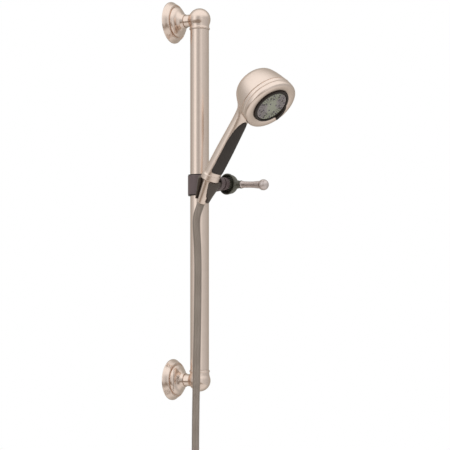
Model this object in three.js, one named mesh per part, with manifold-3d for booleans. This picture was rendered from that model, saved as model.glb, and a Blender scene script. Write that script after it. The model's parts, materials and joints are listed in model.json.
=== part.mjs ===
// Wall bar with a sliding cradle, a handheld shower head and its hose.
//
// Millimetres, +Z up. The wall is the plane y = 0 and everything stands out from it towards -Y.
// The origin is the centre of the lower mounting plate's back face.
// Each round piece is turned about +Z and then laid along its own axis by the group that holds it.
import * as THREE from "three";
import { mergeVertices } from "three/addons/utils/BufferGeometryUtils.js";
import Module from "manifold-3d";

const wasm = await Module();
wasm.setup();

// ---------------------------------------------------------------- driving dimensions

const GAP = 0.3; // clearance between pieces that touch
const INCH = 25.4;

const BAR_SPAN = 24 * INCH; // between the centres of the two end brackets
const BAR_RADIUS = 0.625 * INCH;
const BAR_WALL = 1.5;
const BAR_OUT = 38.1 + BAR_RADIUS; // wall to bar axis, with a hand's clearance behind the bar
const BALL_RADIUS = 18.5;
const COLLAR_END = 17.8; // from the ball's centre to the end of the collar round the bar
const SPIGOT_LENGTH = 14;
const NECK_RADIUS = 10.4;
const STUD_RADIUS = 6.5;
const STUD_END = 36; // how far the plate's stud stands out from the wall
const ROSETTE_RADIUS = 35;
const ROSETTE_DEPTH = 27;
const PLATE_RADIUS = 27;
const PLATE_THICKNESS = 4;
const PLATE_SCREWS = 3;
const PLATE_SCREW_CIRCLE = 18.5;
const WALL_SCREW_RADIUS = 2.5; // the hole for its shank
const SET_SCREW_OUT = 31; // wall to the grub screw under the neck
const SET_SCREW_RADIUS = 2.4;

const SLIDER_HEIGHT = 329.5; // slider centre above the lower bracket's centre
const SLIDER_TURN = -12.9; // degrees about the bar
const SLEEVE_RADIUS = 19.75;
const SLEEVE_HALF = 16.5;
const BUSH_RADIUS = 17.6;
const BUSH_FLANGE = 1;
const CLAMP_SPLIT = 2.6;
const EAR_HALF = 10; // half the width of the two clamp ears together
const EAR_RADIUS = 10.5;
const PIVOT_OUT = 50; // bar axis to the axis that the cradle and the lever share
const PIVOT_RADIUS = 4;
const WASHER_THICKNESS = 1.2;
const STUD_HEAD_RADIUS = 6.3;
const WASHER_RADIUS = 9.6;

const LEVER_X = 21; // the lever's plane
const LEVER_DROP = 4; // degrees below level when it is locked
const LEVER_LENGTH = 82;
const LEVER_BALL_RADIUS = 9;
const LEVER_RADIUS = 5.4;
const COLLAR_LENGTH = 26; // pivot axis to the outer end of the hub's collar

const CUP_X = -32;
const CUP_OUT = 52; // bar axis to the centre of the cup's rim
const CUP_UP = 3.5;
const CUP_TILT = 27; // degrees outwards from upright
const CUP_DEPTH = 37;
const CUP_SLOT = 20;
const CUP_SLOT_OFF = -2.7; // from the hose to the middle of the slot, away from the wall

const NUT_TOP_RADIUS = 12.3;
const NUT_TIP_RADIUS = 7.9;
const NUT_LENGTH = 41;
const HANDLE_END_RADIUS = 15.5;
const WATERWAY_RADIUS = 7.1;

const FACE_UP = 156; // centre of the spray face, up the handle from the cup's rim
const FACE_OUT = 68.2; // and out from the handle's axis
const FACE_TILT = 20.86; // degrees that the face looks back towards the handle's base
const HEAD_RADIUS = 45.5;
const HEAD_DEPTH = 61;
const BEZEL_DEPTH = 9;
const CHAMBER_RADIUS = 34.5;
const VALVE_RADIUS = 40.2; // the valve body fills the drum's mouth
const VALVE_SCREW_CIRCLE = 37.2;
const PORT_CIRCLE = 18;
const DETENT_CIRCLE = 24;
const VALVE_SEAT = -23.3; // depth of the ledge that the valve body is screwed to
const FACE_PROUD = 6.4; // how far the bezel bulges out to the selector
const RING_OUTER = 30.6;
const RING_INNER = 27;
const TAB_ANGLE = -14; // degrees, seen from the front with the handle downwards
const TAB_SPAN = 44;

const HOSE_DIAMETER = 13;
const HOSE_BORE_RADIUS = 4;
const HOSE_LENGTH = 1500;
const HOSE_RIBS = 66;
const HANK_TOP = -185; // height of the centre of the hank's upper fold
const HANK_RUN = 15 * HOSE_DIAMETER; // between the centres of its folds
const FOLD_RADIUS = 3 * HOSE_DIAMETER;
const HANK_PITCH = HOSE_DIAMETER + 1.4; // between layers
const END_DRIFT = 10; // how far the supply end stands clear of the next run
const WAIST_DRAW = 6; // how far the tie draws each side in
const TIE_HEIGHT = 16;

// ---------------------------------------------------------------- finishes

/** A plain material of one colour. */
const finish = (color, roughness, metalness) =>
  new THREE.MeshStandardMaterial({ color, roughness, metalness });

const NICKEL = finish("#c9b8a8", 0.28, 1);
const STEEL = finish("#b9b4ac", 0.35, 1);
const BRASS = finish("#b99a5a", 0.35, 1);
const DARK_PLASTIC = finish("#4b413c", 0.55, 0);
const SLEEVE_PLASTIC = finish("#5f5050", 0.5, 0);
const HUB_PLASTIC = finish("#5a5a50", 0.45, 0);
const GRIP_RUBBER = finish("#3c3632", 0.8, 0);
const BLACK_PLASTIC = finish("#2a2015", 0.4, 0);
const FACE_PLASTIC = finish("#969687", 0.5, 0);
const NOZZLE_RUBBER = finish("#7d7680", 0.75, 0);
const WHITE_PLASTIC = finish("#d8d6cf", 0.5, 0);
const SEAL_RUBBER = finish("#1d1c1b", 0.85, 0);
const STRAP = finish("#2b2b2d", 0.95, 0);

// ---------------------------------------------------------------- shaping tools

const rad = THREE.MathUtils.degToRad;

/** Six times the signed volume of an indexed geometry: negative where its faces point in. */
function signedVolume(positions, index) {
  const [a, b, c] = [new THREE.Vector3(), new THREE.Vector3(), new THREE.Vector3()];
  let sum = 0;
  for (let i = 0; i < index.length; i += 3) {
    a.fromArray(positions, 3 * index[i]);
    b.fromArray(positions, 3 * index[i + 1]);
    c.fromArray(positions, 3 * index[i + 2]);
    sum += a.dot(b.cross(c));
  }
  return sum;
}

/** The closed solid that a geometry bounds, whichever way its faces point. */
function solid(geometry) {
  const loose = geometry.index ? geometry.toNonIndexed() : geometry;
  const bare = new THREE.BufferGeometry();
  bare.setAttribute("position", loose.getAttribute("position"));
  const merged = mergeVertices(bare, 1e-4);
  const vertProperties = new Float32Array(merged.attributes.position.array);
  const faces = [];
  for (let i = 0; i < merged.index.count; i += 3) {
    const [a, b, c] = [0, 1, 2].map((k) => merged.index.getX(i + k));
    if (a !== b && b !== c && c !== a) faces.push([a, b, c]);
  }
  const inwards = signedVolume(vertProperties, faces.flat()) < 0;
  const triVerts = new Uint32Array(faces.flatMap(([a, b, c]) => (inwards ? [a, c, b] : [a, b, c])));
  return new wasm.Manifold(new wasm.Mesh({ numProp: 3, vertProperties, triVerts }));
}

/** A named mesh of a solid. */
function piece(name, made, material) {
  const { vertProperties, triVerts } = made.getMesh();
  const geometry = new THREE.BufferGeometry();
  geometry.setAttribute("position", new THREE.BufferAttribute(vertProperties, 3));
  geometry.setIndex(new THREE.BufferAttribute(triVerts, 1));
  const flat = geometry.toNonIndexed();
  flat.computeVertexNormals();
  const mesh = new THREE.Mesh(flat, material);
  mesh.name = name;
  return mesh;
}

/** Revolves [radius, height] points about Z. The profile closes on itself or on the axis. */
function turned(points, segments = 22) {
  const outline = points.map(([r, z]) => new THREE.Vector2(r, z));
  const onAxis = outline[0].x === 0 && outline.at(-1).x === 0;
  if (!onAxis) outline.push(outline[0].clone());
  return new THREE.LatheGeometry(outline, segments).rotateX(Math.PI / 2);
}

/** A plain round rod about Z between two heights. */
const rod = (radius, from, to, segments = 16) =>
  turned([[0, from], [radius, from], [radius, to], [0, to]], segments);

/** A washer about Z. */
const washer = (inner, outer, from, to, segments = 16) =>
  turned([[inner, from], [outer, from], [outer, to], [inner, to]], segments);

/** Extrudes an outline given in (y, z) along X. */
function sideways(shape, from, to, curveSegments = 10) {
  const g = new THREE.ExtrudeGeometry(shape, { depth: to - from, bevelEnabled: false, curveSegments });
  const axes = new THREE.Matrix4().makeBasis(
    new THREE.Vector3(0, 1, 0),
    new THREE.Vector3(0, 0, 1),
    new THREE.Vector3(1, 0, 0),
  );
  return g.applyMatrix4(axes).translate(from, 0, 0);
}

/** Points of an arc as [radius, height] pairs, from one angle to another in degrees. */
function arc(centre, radius, from, to, steps) {
  return Array.from({ length: steps + 1 }, (_, i) => {
    const t = rad(from + ((to - from) * i) / steps);
    return [centre[0] + radius * Math.cos(t), centre[1] + radius * Math.sin(t)];
  });
}

/** Centres evenly round a circle, as [x, y] pairs, the first turned by some degrees. */
function ringOf(count, radius, turn = 0) {
  return Array.from({ length: count }, (_, i) => {
    const t = rad(turn) + (2 * Math.PI * i) / count;
    return [radius * Math.cos(t), radius * Math.sin(t)];
  });
}

/** A closed skin over rings of points that all have the same count. */
function loft(rings) {
  const sides = rings[0].length;
  const faces = [];
  const quad = (a, b, c, d) => faces.push(a, b, c, a, c, d);
  for (let k = 0; k + 1 < rings.length; k++)
    for (let i = 0; i < sides; i++) {
      const j = (i + 1) % sides;
      quad(rings[k][i], rings[k][j], rings[k + 1][j], rings[k + 1][i]);
    }
  for (const [ring, flip] of [[rings[0], true], [rings.at(-1), false]]) {
    const middle = ring.reduce((sum, p) => sum.add(p), new THREE.Vector3()).divideScalar(sides);
    for (let i = 0; i < sides; i++) {
      const next = ring[(i + 1) % sides];
      faces.push(middle, ...(flip ? [next, ring[i]] : [ring[i], next]));
    }
  }
  return new THREE.BufferGeometry().setFromPoints(faces);
}

/** A round tube or rod along a curve. */
function along(curve, radius, bore, steps, sides) {
  const shape = new THREE.Shape().absarc(0, 0, radius, 0, 2 * Math.PI);
  if (bore) shape.holes.push(new THREE.Path().absarc(0, 0, bore, 0, 2 * Math.PI, true));
  return new THREE.ExtrudeGeometry(shape, {
    steps,
    curveSegments: sides / 2,
    extrudePath: curve,
    bevelEnabled: false,
  });
}

/** A group at a place, turned about one axis by degrees. */
function placed(x, y, z, turn = {}) {
  const group = new THREE.Group();
  group.position.set(x, y, z);
  for (const [axis, degrees] of Object.entries(turn)) group.rotation[axis] = rad(degrees);
  return group;
}

// ---------------------------------------------------------------- wall brackets and bar

/** The round plate on the wall, with its stud and its three countersunk screw holes. */
function mountPlate() {
  let plate = solid(
    turned([
      [0, 0],
      [PLATE_RADIUS, 0],
      [PLATE_RADIUS, PLATE_THICKNESS - 0.8],
      [PLATE_RADIUS - 0.8, PLATE_THICKNESS],
      [STUD_RADIUS + 2.5, PLATE_THICKNESS],
      [STUD_RADIUS, PLATE_THICKNESS + 2.5],
      [STUD_RADIUS, STUD_END],
      [0, STUD_END],
    ], 16),
  );
  for (const place of ringOf(PLATE_SCREWS, PLATE_SCREW_CIRCLE, 90))
    plate = plate.subtract(solid(screwHole().translate(...place, 0)));
  return plate;
}

/** The countersunk hole that a wall screw goes through. */
const screwHole = () =>
  turned(
    [
      [0, -1],
      [WALL_SCREW_RADIUS, -1],
      [WALL_SCREW_RADIUS, PLATE_THICKNESS - 3.2],
      [WALL_SCREW_RADIUS + 2.2, PLATE_THICKNESS - 0.8],
      [WALL_SCREW_RADIUS + 2.2, PLATE_THICKNESS + 1],
      [0, PLATE_THICKNESS + 1],
    ],
    12,
  );

/** The stepped, trumpet-shaped cover that slides along the neck to hide the plate. */
function rosette() {
  const bore = NECK_RADIUS + GAP;
  const r = ROSETTE_RADIUS;
  return solid(
    turned(
      [
        [r, 0.3],
        [r, 2.6],
        [r - 1.2, 4.4],
        [r - 3.6, 5],
        [r - 4.6, 7.6],
        [r - 8, 12.2],
        [r - 12.2, 15.6],
        [17.4, 18.4],
        [13.4, 22],
        [bore + 1.1, ROSETTE_DEPTH],
        [bore, ROSETTE_DEPTH],
        [bore, 20.5],
        [20.4, 13.8],
        [r - 6.4, 6.4],
        [r - 2.4, 2.4],
        [r - 2.4, 0.3],
      ],
      22,
    ),
  );
}

/** The end bracket: a neck from the wall, a ball and a collar with a spigot inside the bar. */
function endPost(up) {
  const neckStart = PLATE_THICKNESS + 3;
  const neck = solid(rod(NECK_RADIUS, neckStart, BAR_OUT, 16).rotateX(Math.PI / 2));
  const ball = solid(turned(arc([0, 0], BALL_RADIUS, -90, 90, 8).map(onAxisEnds), 18));
  const collar = solid(
    turned(
      [
        [0, 0],
        [BAR_RADIUS + 0.5, 0],
        [BAR_RADIUS + 0.5, COLLAR_END - 4],
        [BAR_RADIUS + 1.4, COLLAR_END - 2.8],
        [BAR_RADIUS + 1.4, COLLAR_END - 1.2],
        [BAR_RADIUS + 0.6, COLLAR_END],
        [BAR_RADIUS - BAR_WALL - GAP, COLLAR_END],
        [BAR_RADIUS - BAR_WALL - GAP, COLLAR_END + SPIGOT_LENGTH],
        [0, COLLAR_END + SPIGOT_LENGTH],
      ],
      18,
    ).rotateX(up ? 0 : Math.PI),
  );
  const stud = rod(STUD_RADIUS + GAP, neckStart - 1, STUD_END + GAP, 16).rotateX(Math.PI / 2);
  const grub = rod(SET_SCREW_RADIUS + GAP, -NECK_RADIUS - 1, 0, 8).translate(0, -SET_SCREW_OUT, 0);
  return neck
    .add(ball.add(collar).translate([0, -BAR_OUT, 0]))
    .subtract(solid(stud))
    .subtract(solid(grub));
}

/** Puts the two ends of an arc that reaches the axis exactly on it. */
const onAxisEnds = ([r, z], i, all) => [i === 0 || i === all.length - 1 ? 0 : r, z];

/** The grub screw that holds the bracket on the stud, with a hexagon socket. */
function setScrew() {
  const tip = -(STUD_RADIUS + GAP);
  const outer = -(NECK_RADIUS - 0.2);
  const body = solid(rod(SET_SCREW_RADIUS, outer, tip, 8));
  const socket = solid(rod(1.3, outer - 1, outer + 1.6, 6));
  return body.subtract(socket);
}

/** One end of the bar: everything that is fixed to the wall at that height. */
function wallBracket(where, up) {
  const group = placed(0, 0, up ? 0 : BAR_SPAN);
  const outwards = placed(0, 0, 0, { x: 90 });
  outwards.add(piece(`${where}_mount_plate`, mountPlate(), STEEL));
  outwards.add(piece(`${where}_rosette`, rosette(), NICKEL));
  const grub = piece(`${where}_set_screw`, setScrew(), STEEL);
  grub.position.set(0, -SET_SCREW_OUT, 0);
  group.add(outwards, piece(`${where}_post`, endPost(up), NICKEL), grub);
  return group;
}

/** The straight brushed tube between the two brackets. */
function barTube() {
  const end = COLLAR_END + GAP;
  return solid(washer(BAR_RADIUS - BAR_WALL, BAR_RADIUS, end, BAR_SPAN - end, 26));
}

// ---------------------------------------------------------------- slider

/** The split liner between the bar and the clamp, with a flange at each end. */
function sliderBush() {
  const inner = BAR_RADIUS + GAP;
  const half = SLEEVE_HALF + GAP;
  const lip = half + BUSH_FLANGE;
  const flange = SLEEVE_RADIUS - 0.4;
  const ring = solid(
    turned(
      [
        [inner, -lip],
        [flange, -lip],
        [flange, -half],
        [BUSH_RADIUS, -half],
        [BUSH_RADIUS, half],
        [flange, half],
        [flange, lip],
        [inner, lip],
      ],
      20,
    ),
  );
  const split = new THREE.BoxGeometry(CLAMP_SPLIT, 12, 3 * lip).translate(0, -SLEEVE_RADIUS, 0);
  return ring.subtract(solid(split));
}

/** The clamp: a split sleeve whose two ears reach out to the pivot. */
function clampBody() {
  const sleeve = solid(
    turned(
      [
        [0, -SLEEVE_HALF],
        [SLEEVE_RADIUS - 1, -SLEEVE_HALF],
        [SLEEVE_RADIUS, 1 - SLEEVE_HALF],
        [SLEEVE_RADIUS, SLEEVE_HALF - 1],
        [SLEEVE_RADIUS - 1, SLEEVE_HALF],
        [0, SLEEVE_HALF],
      ],
      22,
    ),
  );
  const side = new THREE.Shape();
  side.moveTo(-8, 13.5);
  side.quadraticCurveTo(-30, 12.5, -PIVOT_OUT + 3, EAR_RADIUS - 0.4);
  side.absarc(-PIVOT_OUT, 0, EAR_RADIUS, rad(74), rad(286), false);
  side.quadraticCurveTo(-30, -12.5, -8, -13.5);
  const ears = solid(sideways(side, -EAR_HALF, EAR_HALF, 6));
  const bore = rod(BUSH_RADIUS + GAP, -SLEEVE_HALF - 1, SLEEVE_HALF + 1, 20);
  const split = new THREE.BoxGeometry(CLAMP_SPLIT, 60, 40).translate(0, -44, 0);
  const pin = rod(PIVOT_RADIUS + GAP, -EAR_HALF - 1, EAR_HALF + 1, 12).rotateY(Math.PI / 2);
  return sleeve
    .add(ears)
    .subtract(solid(bore))
    .subtract(solid(split))
    .subtract(solid(pin.translate(0, -PIVOT_OUT, 0)));
}

const EAR_FACE = EAR_HALF + GAP;
const BOSS_FACE = EAR_FACE + WASHER_THICKNESS + GAP; // where the cradle and the lever hub begin
const STUD_HEAD = 14.2; // from the clamp's middle to the underside of the pivot stud's head
const INSERT_END = 24;

/** The headed stud through the ears: the cradle turns on one end and the lever on the other. */
function pivotStud() {
  const head = STUD_HEAD + 1.9;
  return solid(
    turned(
      [
        [0, -head],
        [5.6, -head],
        [STUD_HEAD_RADIUS, 0.7 - head],
        [STUD_HEAD_RADIUS, -STUD_HEAD],
        [PIVOT_RADIUS, -STUD_HEAD],
        [PIVOT_RADIUS, INSERT_END - 0.8],
        [PIVOT_RADIUS - 0.8, INSERT_END],
        [0, INSERT_END],
      ],
      20,
    ),
  );
}

// ---------------------------------------------------------------- clamp lever

/** The bell-shaped hub of the lever, open towards the ears, with the collar for the handle. */
function leverHub() {
  const bell = solid(
    turned(
      [
        [0, INSERT_END + 0.6],
        [6.5, INSERT_END + 0.6],
        [6.5, BOSS_FACE],
        [9, BOSS_FACE],
        [9, 21],
        [13.6, 20.4],
        [15.4, BOSS_FACE + 0.8],
        [16.4, BOSS_FACE],
        [17.7, BOSS_FACE + 0.8],
        [17.7, BOSS_FACE + 2.8],
        [16.6, BOSS_FACE + 3.8],
        [16, 22.6],
        [13.6, 26.4],
        [8.4, 29.8],
        [0, 31.2],
      ],
      20,
    ).rotateY(Math.PI / 2),
  );
  const collar = turned(
    [
      [0, 14.6],
      [7.4, 14.6],
      [6.3, 21],
      [6.3, 23],
      [6.8, COLLAR_LENGTH - 1.4],
      [6.6, COLLAR_LENGTH],
      [0, COLLAR_LENGTH],
    ],
    12,
  );
  const socket = rod(3.3, 17.4, COLLAR_LENGTH + 1, 10);
  const lay = (g) => solid(g.rotateX(Math.PI / 2 + rad(LEVER_DROP)).translate(LEVER_X, 0, 0));
  return bell.add(lay(collar)).subtract(lay(socket));
}

/** The lever's handle: a tang, a round rod that swells a little and a ball. */
function leverHandle() {
  const centre = LEVER_LENGTH - LEVER_BALL_RADIUS;
  const start = COLLAR_LENGTH + GAP;
  return solid(
    turned(
      [
        [0, 17.8],
        [3, 17.8],
        [3, start],
        [6.2, start],
        [6.2, start + 1.6],
        [LEVER_RADIUS, start + 3.4],
        [LEVER_RADIUS - 0.1, start + 24],
        [LEVER_RADIUS + 0.6, start + 33],
        ...arc([0, centre], LEVER_BALL_RADIUS, -46, 90, 7).map(([r, z], i) => [i === 7 ? 0 : r, z]),
      ],
      16,
    ),
  );
}

/** The lever that squeezes the clamp, locked: it points out from the wall, a little down. */
function lever() {
  const group = new THREE.Group();
  const sleeve = washer(PIVOT_RADIUS + GAP, 6.2, BOSS_FACE, INSERT_END);
  const insert = piece("lever_insert", solid(sleeve), BRASS);
  insert.rotation.y = Math.PI / 2;
  const handle = piece("lever_handle", leverHandle(), NICKEL);
  handle.position.x = LEVER_X;
  handle.rotation.x = Math.PI / 2 + rad(LEVER_DROP);
  group.add(piece("lever_hub", leverHub(), HUB_PLASTIC), insert, handle);
  return group;
}

// ---------------------------------------------------------------- cradle

/** Radius of the hose nut's cone at a depth below the cup's rim. */
const coneRadius = (z) =>
  NUT_TOP_RADIUS + ((NUT_TIP_RADIUS - NUT_TOP_RADIUS) * (-0.6 - z)) / (NUT_LENGTH - 0.6);

/** The tapered cup, slotted on its outer side for the hose, with the boss that it tilts on. */
function cradleCup() {
  const seat = 0.5; // clearance round the cone
  const cup = solid(
    turned(
      [
        [coneRadius(0) + seat, 0],
        [18.7, 0],
        [19.5, -0.8],
        [19.2, -5],
        [17.4, -13],
        [14, -27],
        [12.2, 0.8 - CUP_DEPTH],
        [11.4, -CUP_DEPTH],
        [coneRadius(-CUP_DEPTH) + seat, -CUP_DEPTH],
      ],
      24,
    ),
  );
  const [y, z] = pivotFromCup();
  const flat = -BOSS_FACE - CUP_X; // where the boss meets the washer, in the cup's own frame
  const boss = rod(EAR_RADIUS, 9, flat, 20).rotateY(Math.PI / 2).translate(0, y, z);
  const overRim = new THREE.BoxGeometry(40, 60, 30).translate(16 - 20, 0, 15);
  const [above, below] = [1, -CUP_DEPTH - 1];
  const cone = turned(
    [[0, above], [coneRadius(above) + seat, above], [coneRadius(below) + seat, below], [0, below]],
    24,
  );
  const slot = new THREE.BoxGeometry(30, CUP_SLOT, 3 * CUP_DEPTH).translate(-15, CUP_SLOT_OFF, 0);
  const pastBoss = new THREE.BoxGeometry(20, 60, 100).translate(flat + 10, 0, 0);
  const headSeat = rod(STUD_HEAD_RADIUS + GAP, 0, -STUD_HEAD + GAP - CUP_X, 16).rotateY(Math.PI / 2);
  const pin = rod(PIVOT_RADIUS + GAP, 0, 30, 12).rotateY(Math.PI / 2);
  return cup
    .add(solid(boss).subtract(solid(overRim)))
    .subtract(solid(cone))
    .subtract(solid(slot))
    .subtract(solid(pastBoss))
    .subtract(solid(headSeat.translate(0, y, z)))
    .subtract(solid(pin.translate(0, y, z)));
}

/** The pivot axis in the cup's own frame, as [y, z]. */
function pivotFromCup() {
  const y = CUP_OUT - PIVOT_OUT;
  const z = -CUP_UP;
  const t = rad(CUP_TILT);
  return [y * Math.cos(t) + z * Math.sin(t), -y * Math.sin(t) + z * Math.cos(t)];
}

// ---------------------------------------------------------------- handset body

const COLLAR_TOP = 10; // the handle's plain round end reaches this far up

// The handle's middle line, up from the rim and out towards the spray, and its half sizes there.
const HANDLE = [
  { up: 0.4, out: 0, wide: 14.9, thick: 14.9 },
  { up: 1.2, out: 0, wide: HANDLE_END_RADIUS, thick: HANDLE_END_RADIUS },
  { up: COLLAR_TOP, out: 0.4, wide: HANDLE_END_RADIUS, thick: HANDLE_END_RADIUS },
  { up: 12.6, out: 1.3, wide: 14.3, thick: 14.3 },
  { up: 30, out: 4.4, wide: 14.4, thick: 14.3 },
  { up: 60, out: 9.5, wide: 14.2, thick: 13.9 },
  { up: 90, out: 14.5, wide: 13.6, thick: 12.9 },
  { up: 112, out: 18.2, wide: 13.4, thick: 12.2 },
  { up: 126, out: 20.5, wide: 14.4, thick: 12.2 },
  { up: 138, out: 22.4, wide: 17.2, thick: 13 },
  { up: 150, out: 24.4, wide: 20.5, thick: 13.6 },
  { up: 162, out: 26.4, wide: 22, thick: 13.6 },
];

/** The skin of the handle, grown or shrunk evenly, as a lofted solid. */
function handleLoft(grow, from = 0, sides = 20) {
  const rings = HANDLE.slice(from).map(({ up, out, wide, thick }, k, all) => {
    const a = all[Math.max(k - 1, 0)];
    const b = all[Math.min(k + 1, all.length - 1)];
    const lean = up > COLLAR_TOP ? Math.atan2(b.out - a.out, b.up - a.up) : 0;
    return Array.from({ length: sides }, (_, i) => {
      const t = (2 * Math.PI * i) / sides;
      const across = (thick + grow) * Math.sin(t);
      return new THREE.Vector3(
        (wide + grow) * Math.cos(t),
        -out - across * Math.cos(lean),
        up - across * Math.sin(lean),
      );
    });
  });
  return solid(loft(rings));
}

/** The handle's middle line between two heights, as a curve. */
function handleCurve(from, to) {
  const points = HANDLE.filter(({ up }) => up > from && up < to);
  const at = (up) => {
    const k = HANDLE.findIndex((s) => s.up > up);
    const t = (up - HANDLE[k - 1].up) / (HANDLE[k].up - HANDLE[k - 1].up);
    return { up, out: THREE.MathUtils.lerp(HANDLE[k - 1].out, HANDLE[k].out, t) };
  };
  const all = [at(from), ...points, at(to)];
  return new THREE.CatmullRomCurve3(all.map(({ up, out }) => new THREE.Vector3(0, -out, up)));
}

/** Places a geometry made in the head's frame, spray side up, where the head is on the handle. */
function onHead(geometry) {
  return geometry.rotateX(rad(90 + FACE_TILT)).translate(0, -FACE_OUT, FACE_UP);
}

// Outline of the drum behind the bezel, as [radius, depth], from the joint to the domed back.
const DRUM = [
  [44.8, -BEZEL_DEPTH - GAP],
  [44.8, -15.4],
  [43.8, -16.2],
  [44.1, -17.2],
  [41.4, -30],
  [38, -42],
  [34.4, -50.4],
  [28.5, -56.2],
  [18, -60],
  [0, -HEAD_DEPTH],
];

/** Side view of the grip, as an outline in (y, z): it ends round below and in a point above. */
function gripOutline(clearance) {
  const low = 16.6 - clearance;
  const edge = (up) => -(0.1 + 0.166 * up) - 5.4 + clearance; // parting line, parallel to the handle
  const shape = new THREE.Shape();
  shape.moveTo(-40, low + 1);
  shape.lineTo(-12, low);
  shape.bezierCurveTo(edge(low) + 0.6, low, edge(low), low + 5, edge(30), 30);
  shape.lineTo(edge(78), 78);
  shape.quadraticCurveTo(edge(98) - 1, 98, -30.5, 113 + clearance);
  shape.lineTo(-60, 113 + clearance);
  return shape;
}

/** The rubber grip let into the underside of the handle. */
function gripPad() {
  const skin = handleLoft(0.5, 3).subtract(handleLoft(-2.4, 3));
  return skin.intersect(solid(sideways(gripOutline(0), -20, 20, 5)));
}

/** The plated shell: a handle that swells into a deep, tapered drum, hollow for the water. */
function handsetShell() {
  const drum = solid(onHead(turned([[0, DRUM[0][1]], ...DRUM], 30)));
  const front = solid(onHead(rod(60, DRUM[0][1], 40, 12)));
  const chamber = solid(
    onHead(
      turned(
        [
          [0, 0],
          [41, 0],
          [41, VALVE_SEAT],
          [CHAMBER_RADIUS, VALVE_SEAT],
          [CHAMBER_RADIUS, -38],
          [30, -49],
          [0, -56],
        ],
        22,
      ),
    ),
  );
  const recess = handleLoft(2, 3)
    .subtract(handleLoft(-2.7, 3))
    .intersect(solid(sideways(gripOutline(GAP), -22, 22, 5)));
  const waterway = solid(along(handleCurve(6, 146), WATERWAY_RADIUS + 0.4, 0, 7, 8));
  const inlet = solid(rod(11.3, -1, 10.6, 20));
  let shell = handleLoft(0).add(drum).subtract(front).subtract(recess);
  shell = shell.subtract(chamber).subtract(waterway).subtract(inlet);
  for (const place of valveScrewPlaces())
    shell = shell.subtract(solid(onHead(rod(1.5, VALVE_SEAT - 9, 0, 8).translate(...place, 0))));
  return shell;
}

/** The brass threaded inlet, held in the end of the handle. */
function inletNipple() {
  return solid(
    turned([[5, -12], [9.2, -12], [9.9, -11.2], [9.9, 0.8], [11, 0.8], [11, 10.2], [5, 10.2]], 20),
  );
}

/** The disc in the inlet that limits the flow, with its three ports. */
function flowRegulator() {
  let disc = solid(rod(4.7, -5, -1, 16));
  for (const place of ringOf(3, 2.6, 90))
    disc = disc.subtract(solid(rod(0.9, -6, 0, 6).translate(...place, 0)));
  return disc;
}

/** The conical nut that holds the hose on the inlet and seats in the cup. */
function coneNut() {
  const tip = -NUT_LENGTH;
  return solid(
    turned(
      [
        [10.2, -0.6],
        [NUT_TOP_RADIUS - 0.5, -0.6],
        [NUT_TOP_RADIUS, -1.2],
        [NUT_TIP_RADIUS, tip + 1],
        [NUT_TIP_RADIUS - 0.7, tip],
        [5.8, tip],
        [5.8, -17.6],
        [10.2, -17.2],
      ],
      22,
    ),
  );
}

/** The brass insert on the end of the hose, held against the washer by the nut. */
function hoseFitting() {
  return solid(
    turned(
      [
        [HOSE_BORE_RADIUS, -14.6],
        [9.4, -14.6],
        [9.4, -16.8],
        [5.4, -17.4],
        [5.4, 0.3 - NUT_LENGTH],
        [HOSE_BORE_RADIUS, 0.3 - NUT_LENGTH],
      ],
      16,
    ),
  );
}

// ---------------------------------------------------------------- spray head

/** Centres of the three screws that hold the valve body, in the head's frame. */
const valveScrewPlaces = () => ringOf(3, VALVE_SCREW_CIRCLE, 90);

const NOZZLES = [...ringOf(12, 22.8), ...ringOf(7, 15.6, 15), ...ringOf(3, 7.8, 30)];

/** The plated front ring of the head, which bulges out to the selector. */
function headBezel() {
  return solid(
    turned(
      [
        [VALVE_RADIUS, -12.6],
        [VALVE_RADIUS, -BEZEL_DEPTH],
        [44.9, -BEZEL_DEPTH],
        [HEAD_RADIUS, -7.8],
        [HEAD_RADIUS, -3.4],
        [44.8, -0.6],
        [42.6, 2.2],
        [38.6, 4.6],
        [34, FACE_PROUD - 0.5],
        [RING_OUTER + 0.4, FACE_PROUD - 0.2],
        [RING_OUTER + 0.4, FACE_PROUD - 2.8],
        [38, 1.2],
        [39.2, -1.6],
        [39.2, -12.6],
      ],
      26,
    ),
  );
}

/** The spray face, pierced for the nozzles. */
function facePlate() {
  const edge = RING_INNER - 0.4;
  let plate = solid(
    turned([[0, -4.6], [edge, -4.6], [edge, -2.4], [edge - 0.6, -1.8], [0, -1.4]], 24),
  );
  for (const place of NOZZLES) plate = plate.subtract(solid(rod(1.6, -6, 0, 5).translate(...place, 0)));
  return plate.translate(0, 0, FACE_PROUD);
}

/** The soft mat behind the face, whose nozzles come through it. */
function nozzleMat() {
  let mat = solid(washer(5.5, RING_INNER - 0.7, -6.6, -4.9, 24));
  const nozzle = () =>
    turned([[0, -5.6], [1.2, -5.6], [0.9, -0.5], [0, -0.5]], 5);
  for (const place of NOZZLES) mat = mat.add(solid(nozzle().translate(...place, 0)));
  return mat.translate(0, 0, FACE_PROUD);
}

/** The vaned rotor that the water spins for the massage spray. */
function turbine() {
  const hub = solid(washer(5.4, 7.4, -11, -7.4, 14));
  const rim = solid(washer(13.2, 14.4, -11, -9.8, 18));
  return ringOf(6, 1).reduce((rotor, [x, y]) => {
    const vane = new THREE.BoxGeometry(7.2, 1, 3.2).rotateZ(0.45).translate(10.4, 0, -9.3);
    return rotor.add(solid(vane.rotateZ(Math.atan2(y, x))));
  }, hub.add(rim));
}

/** The turning disc whose ports choose the spray. */
function diverterDisc() {
  let disc = solid(washer(5.4, 28.2, -14.5, -11.6, 24));
  for (const place of ringOf(3, PORT_CIRCLE, 30))
    disc = disc.subtract(solid(rod(3, -20, -5, 8).translate(...place, 0)));
  return disc;
}

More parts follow.
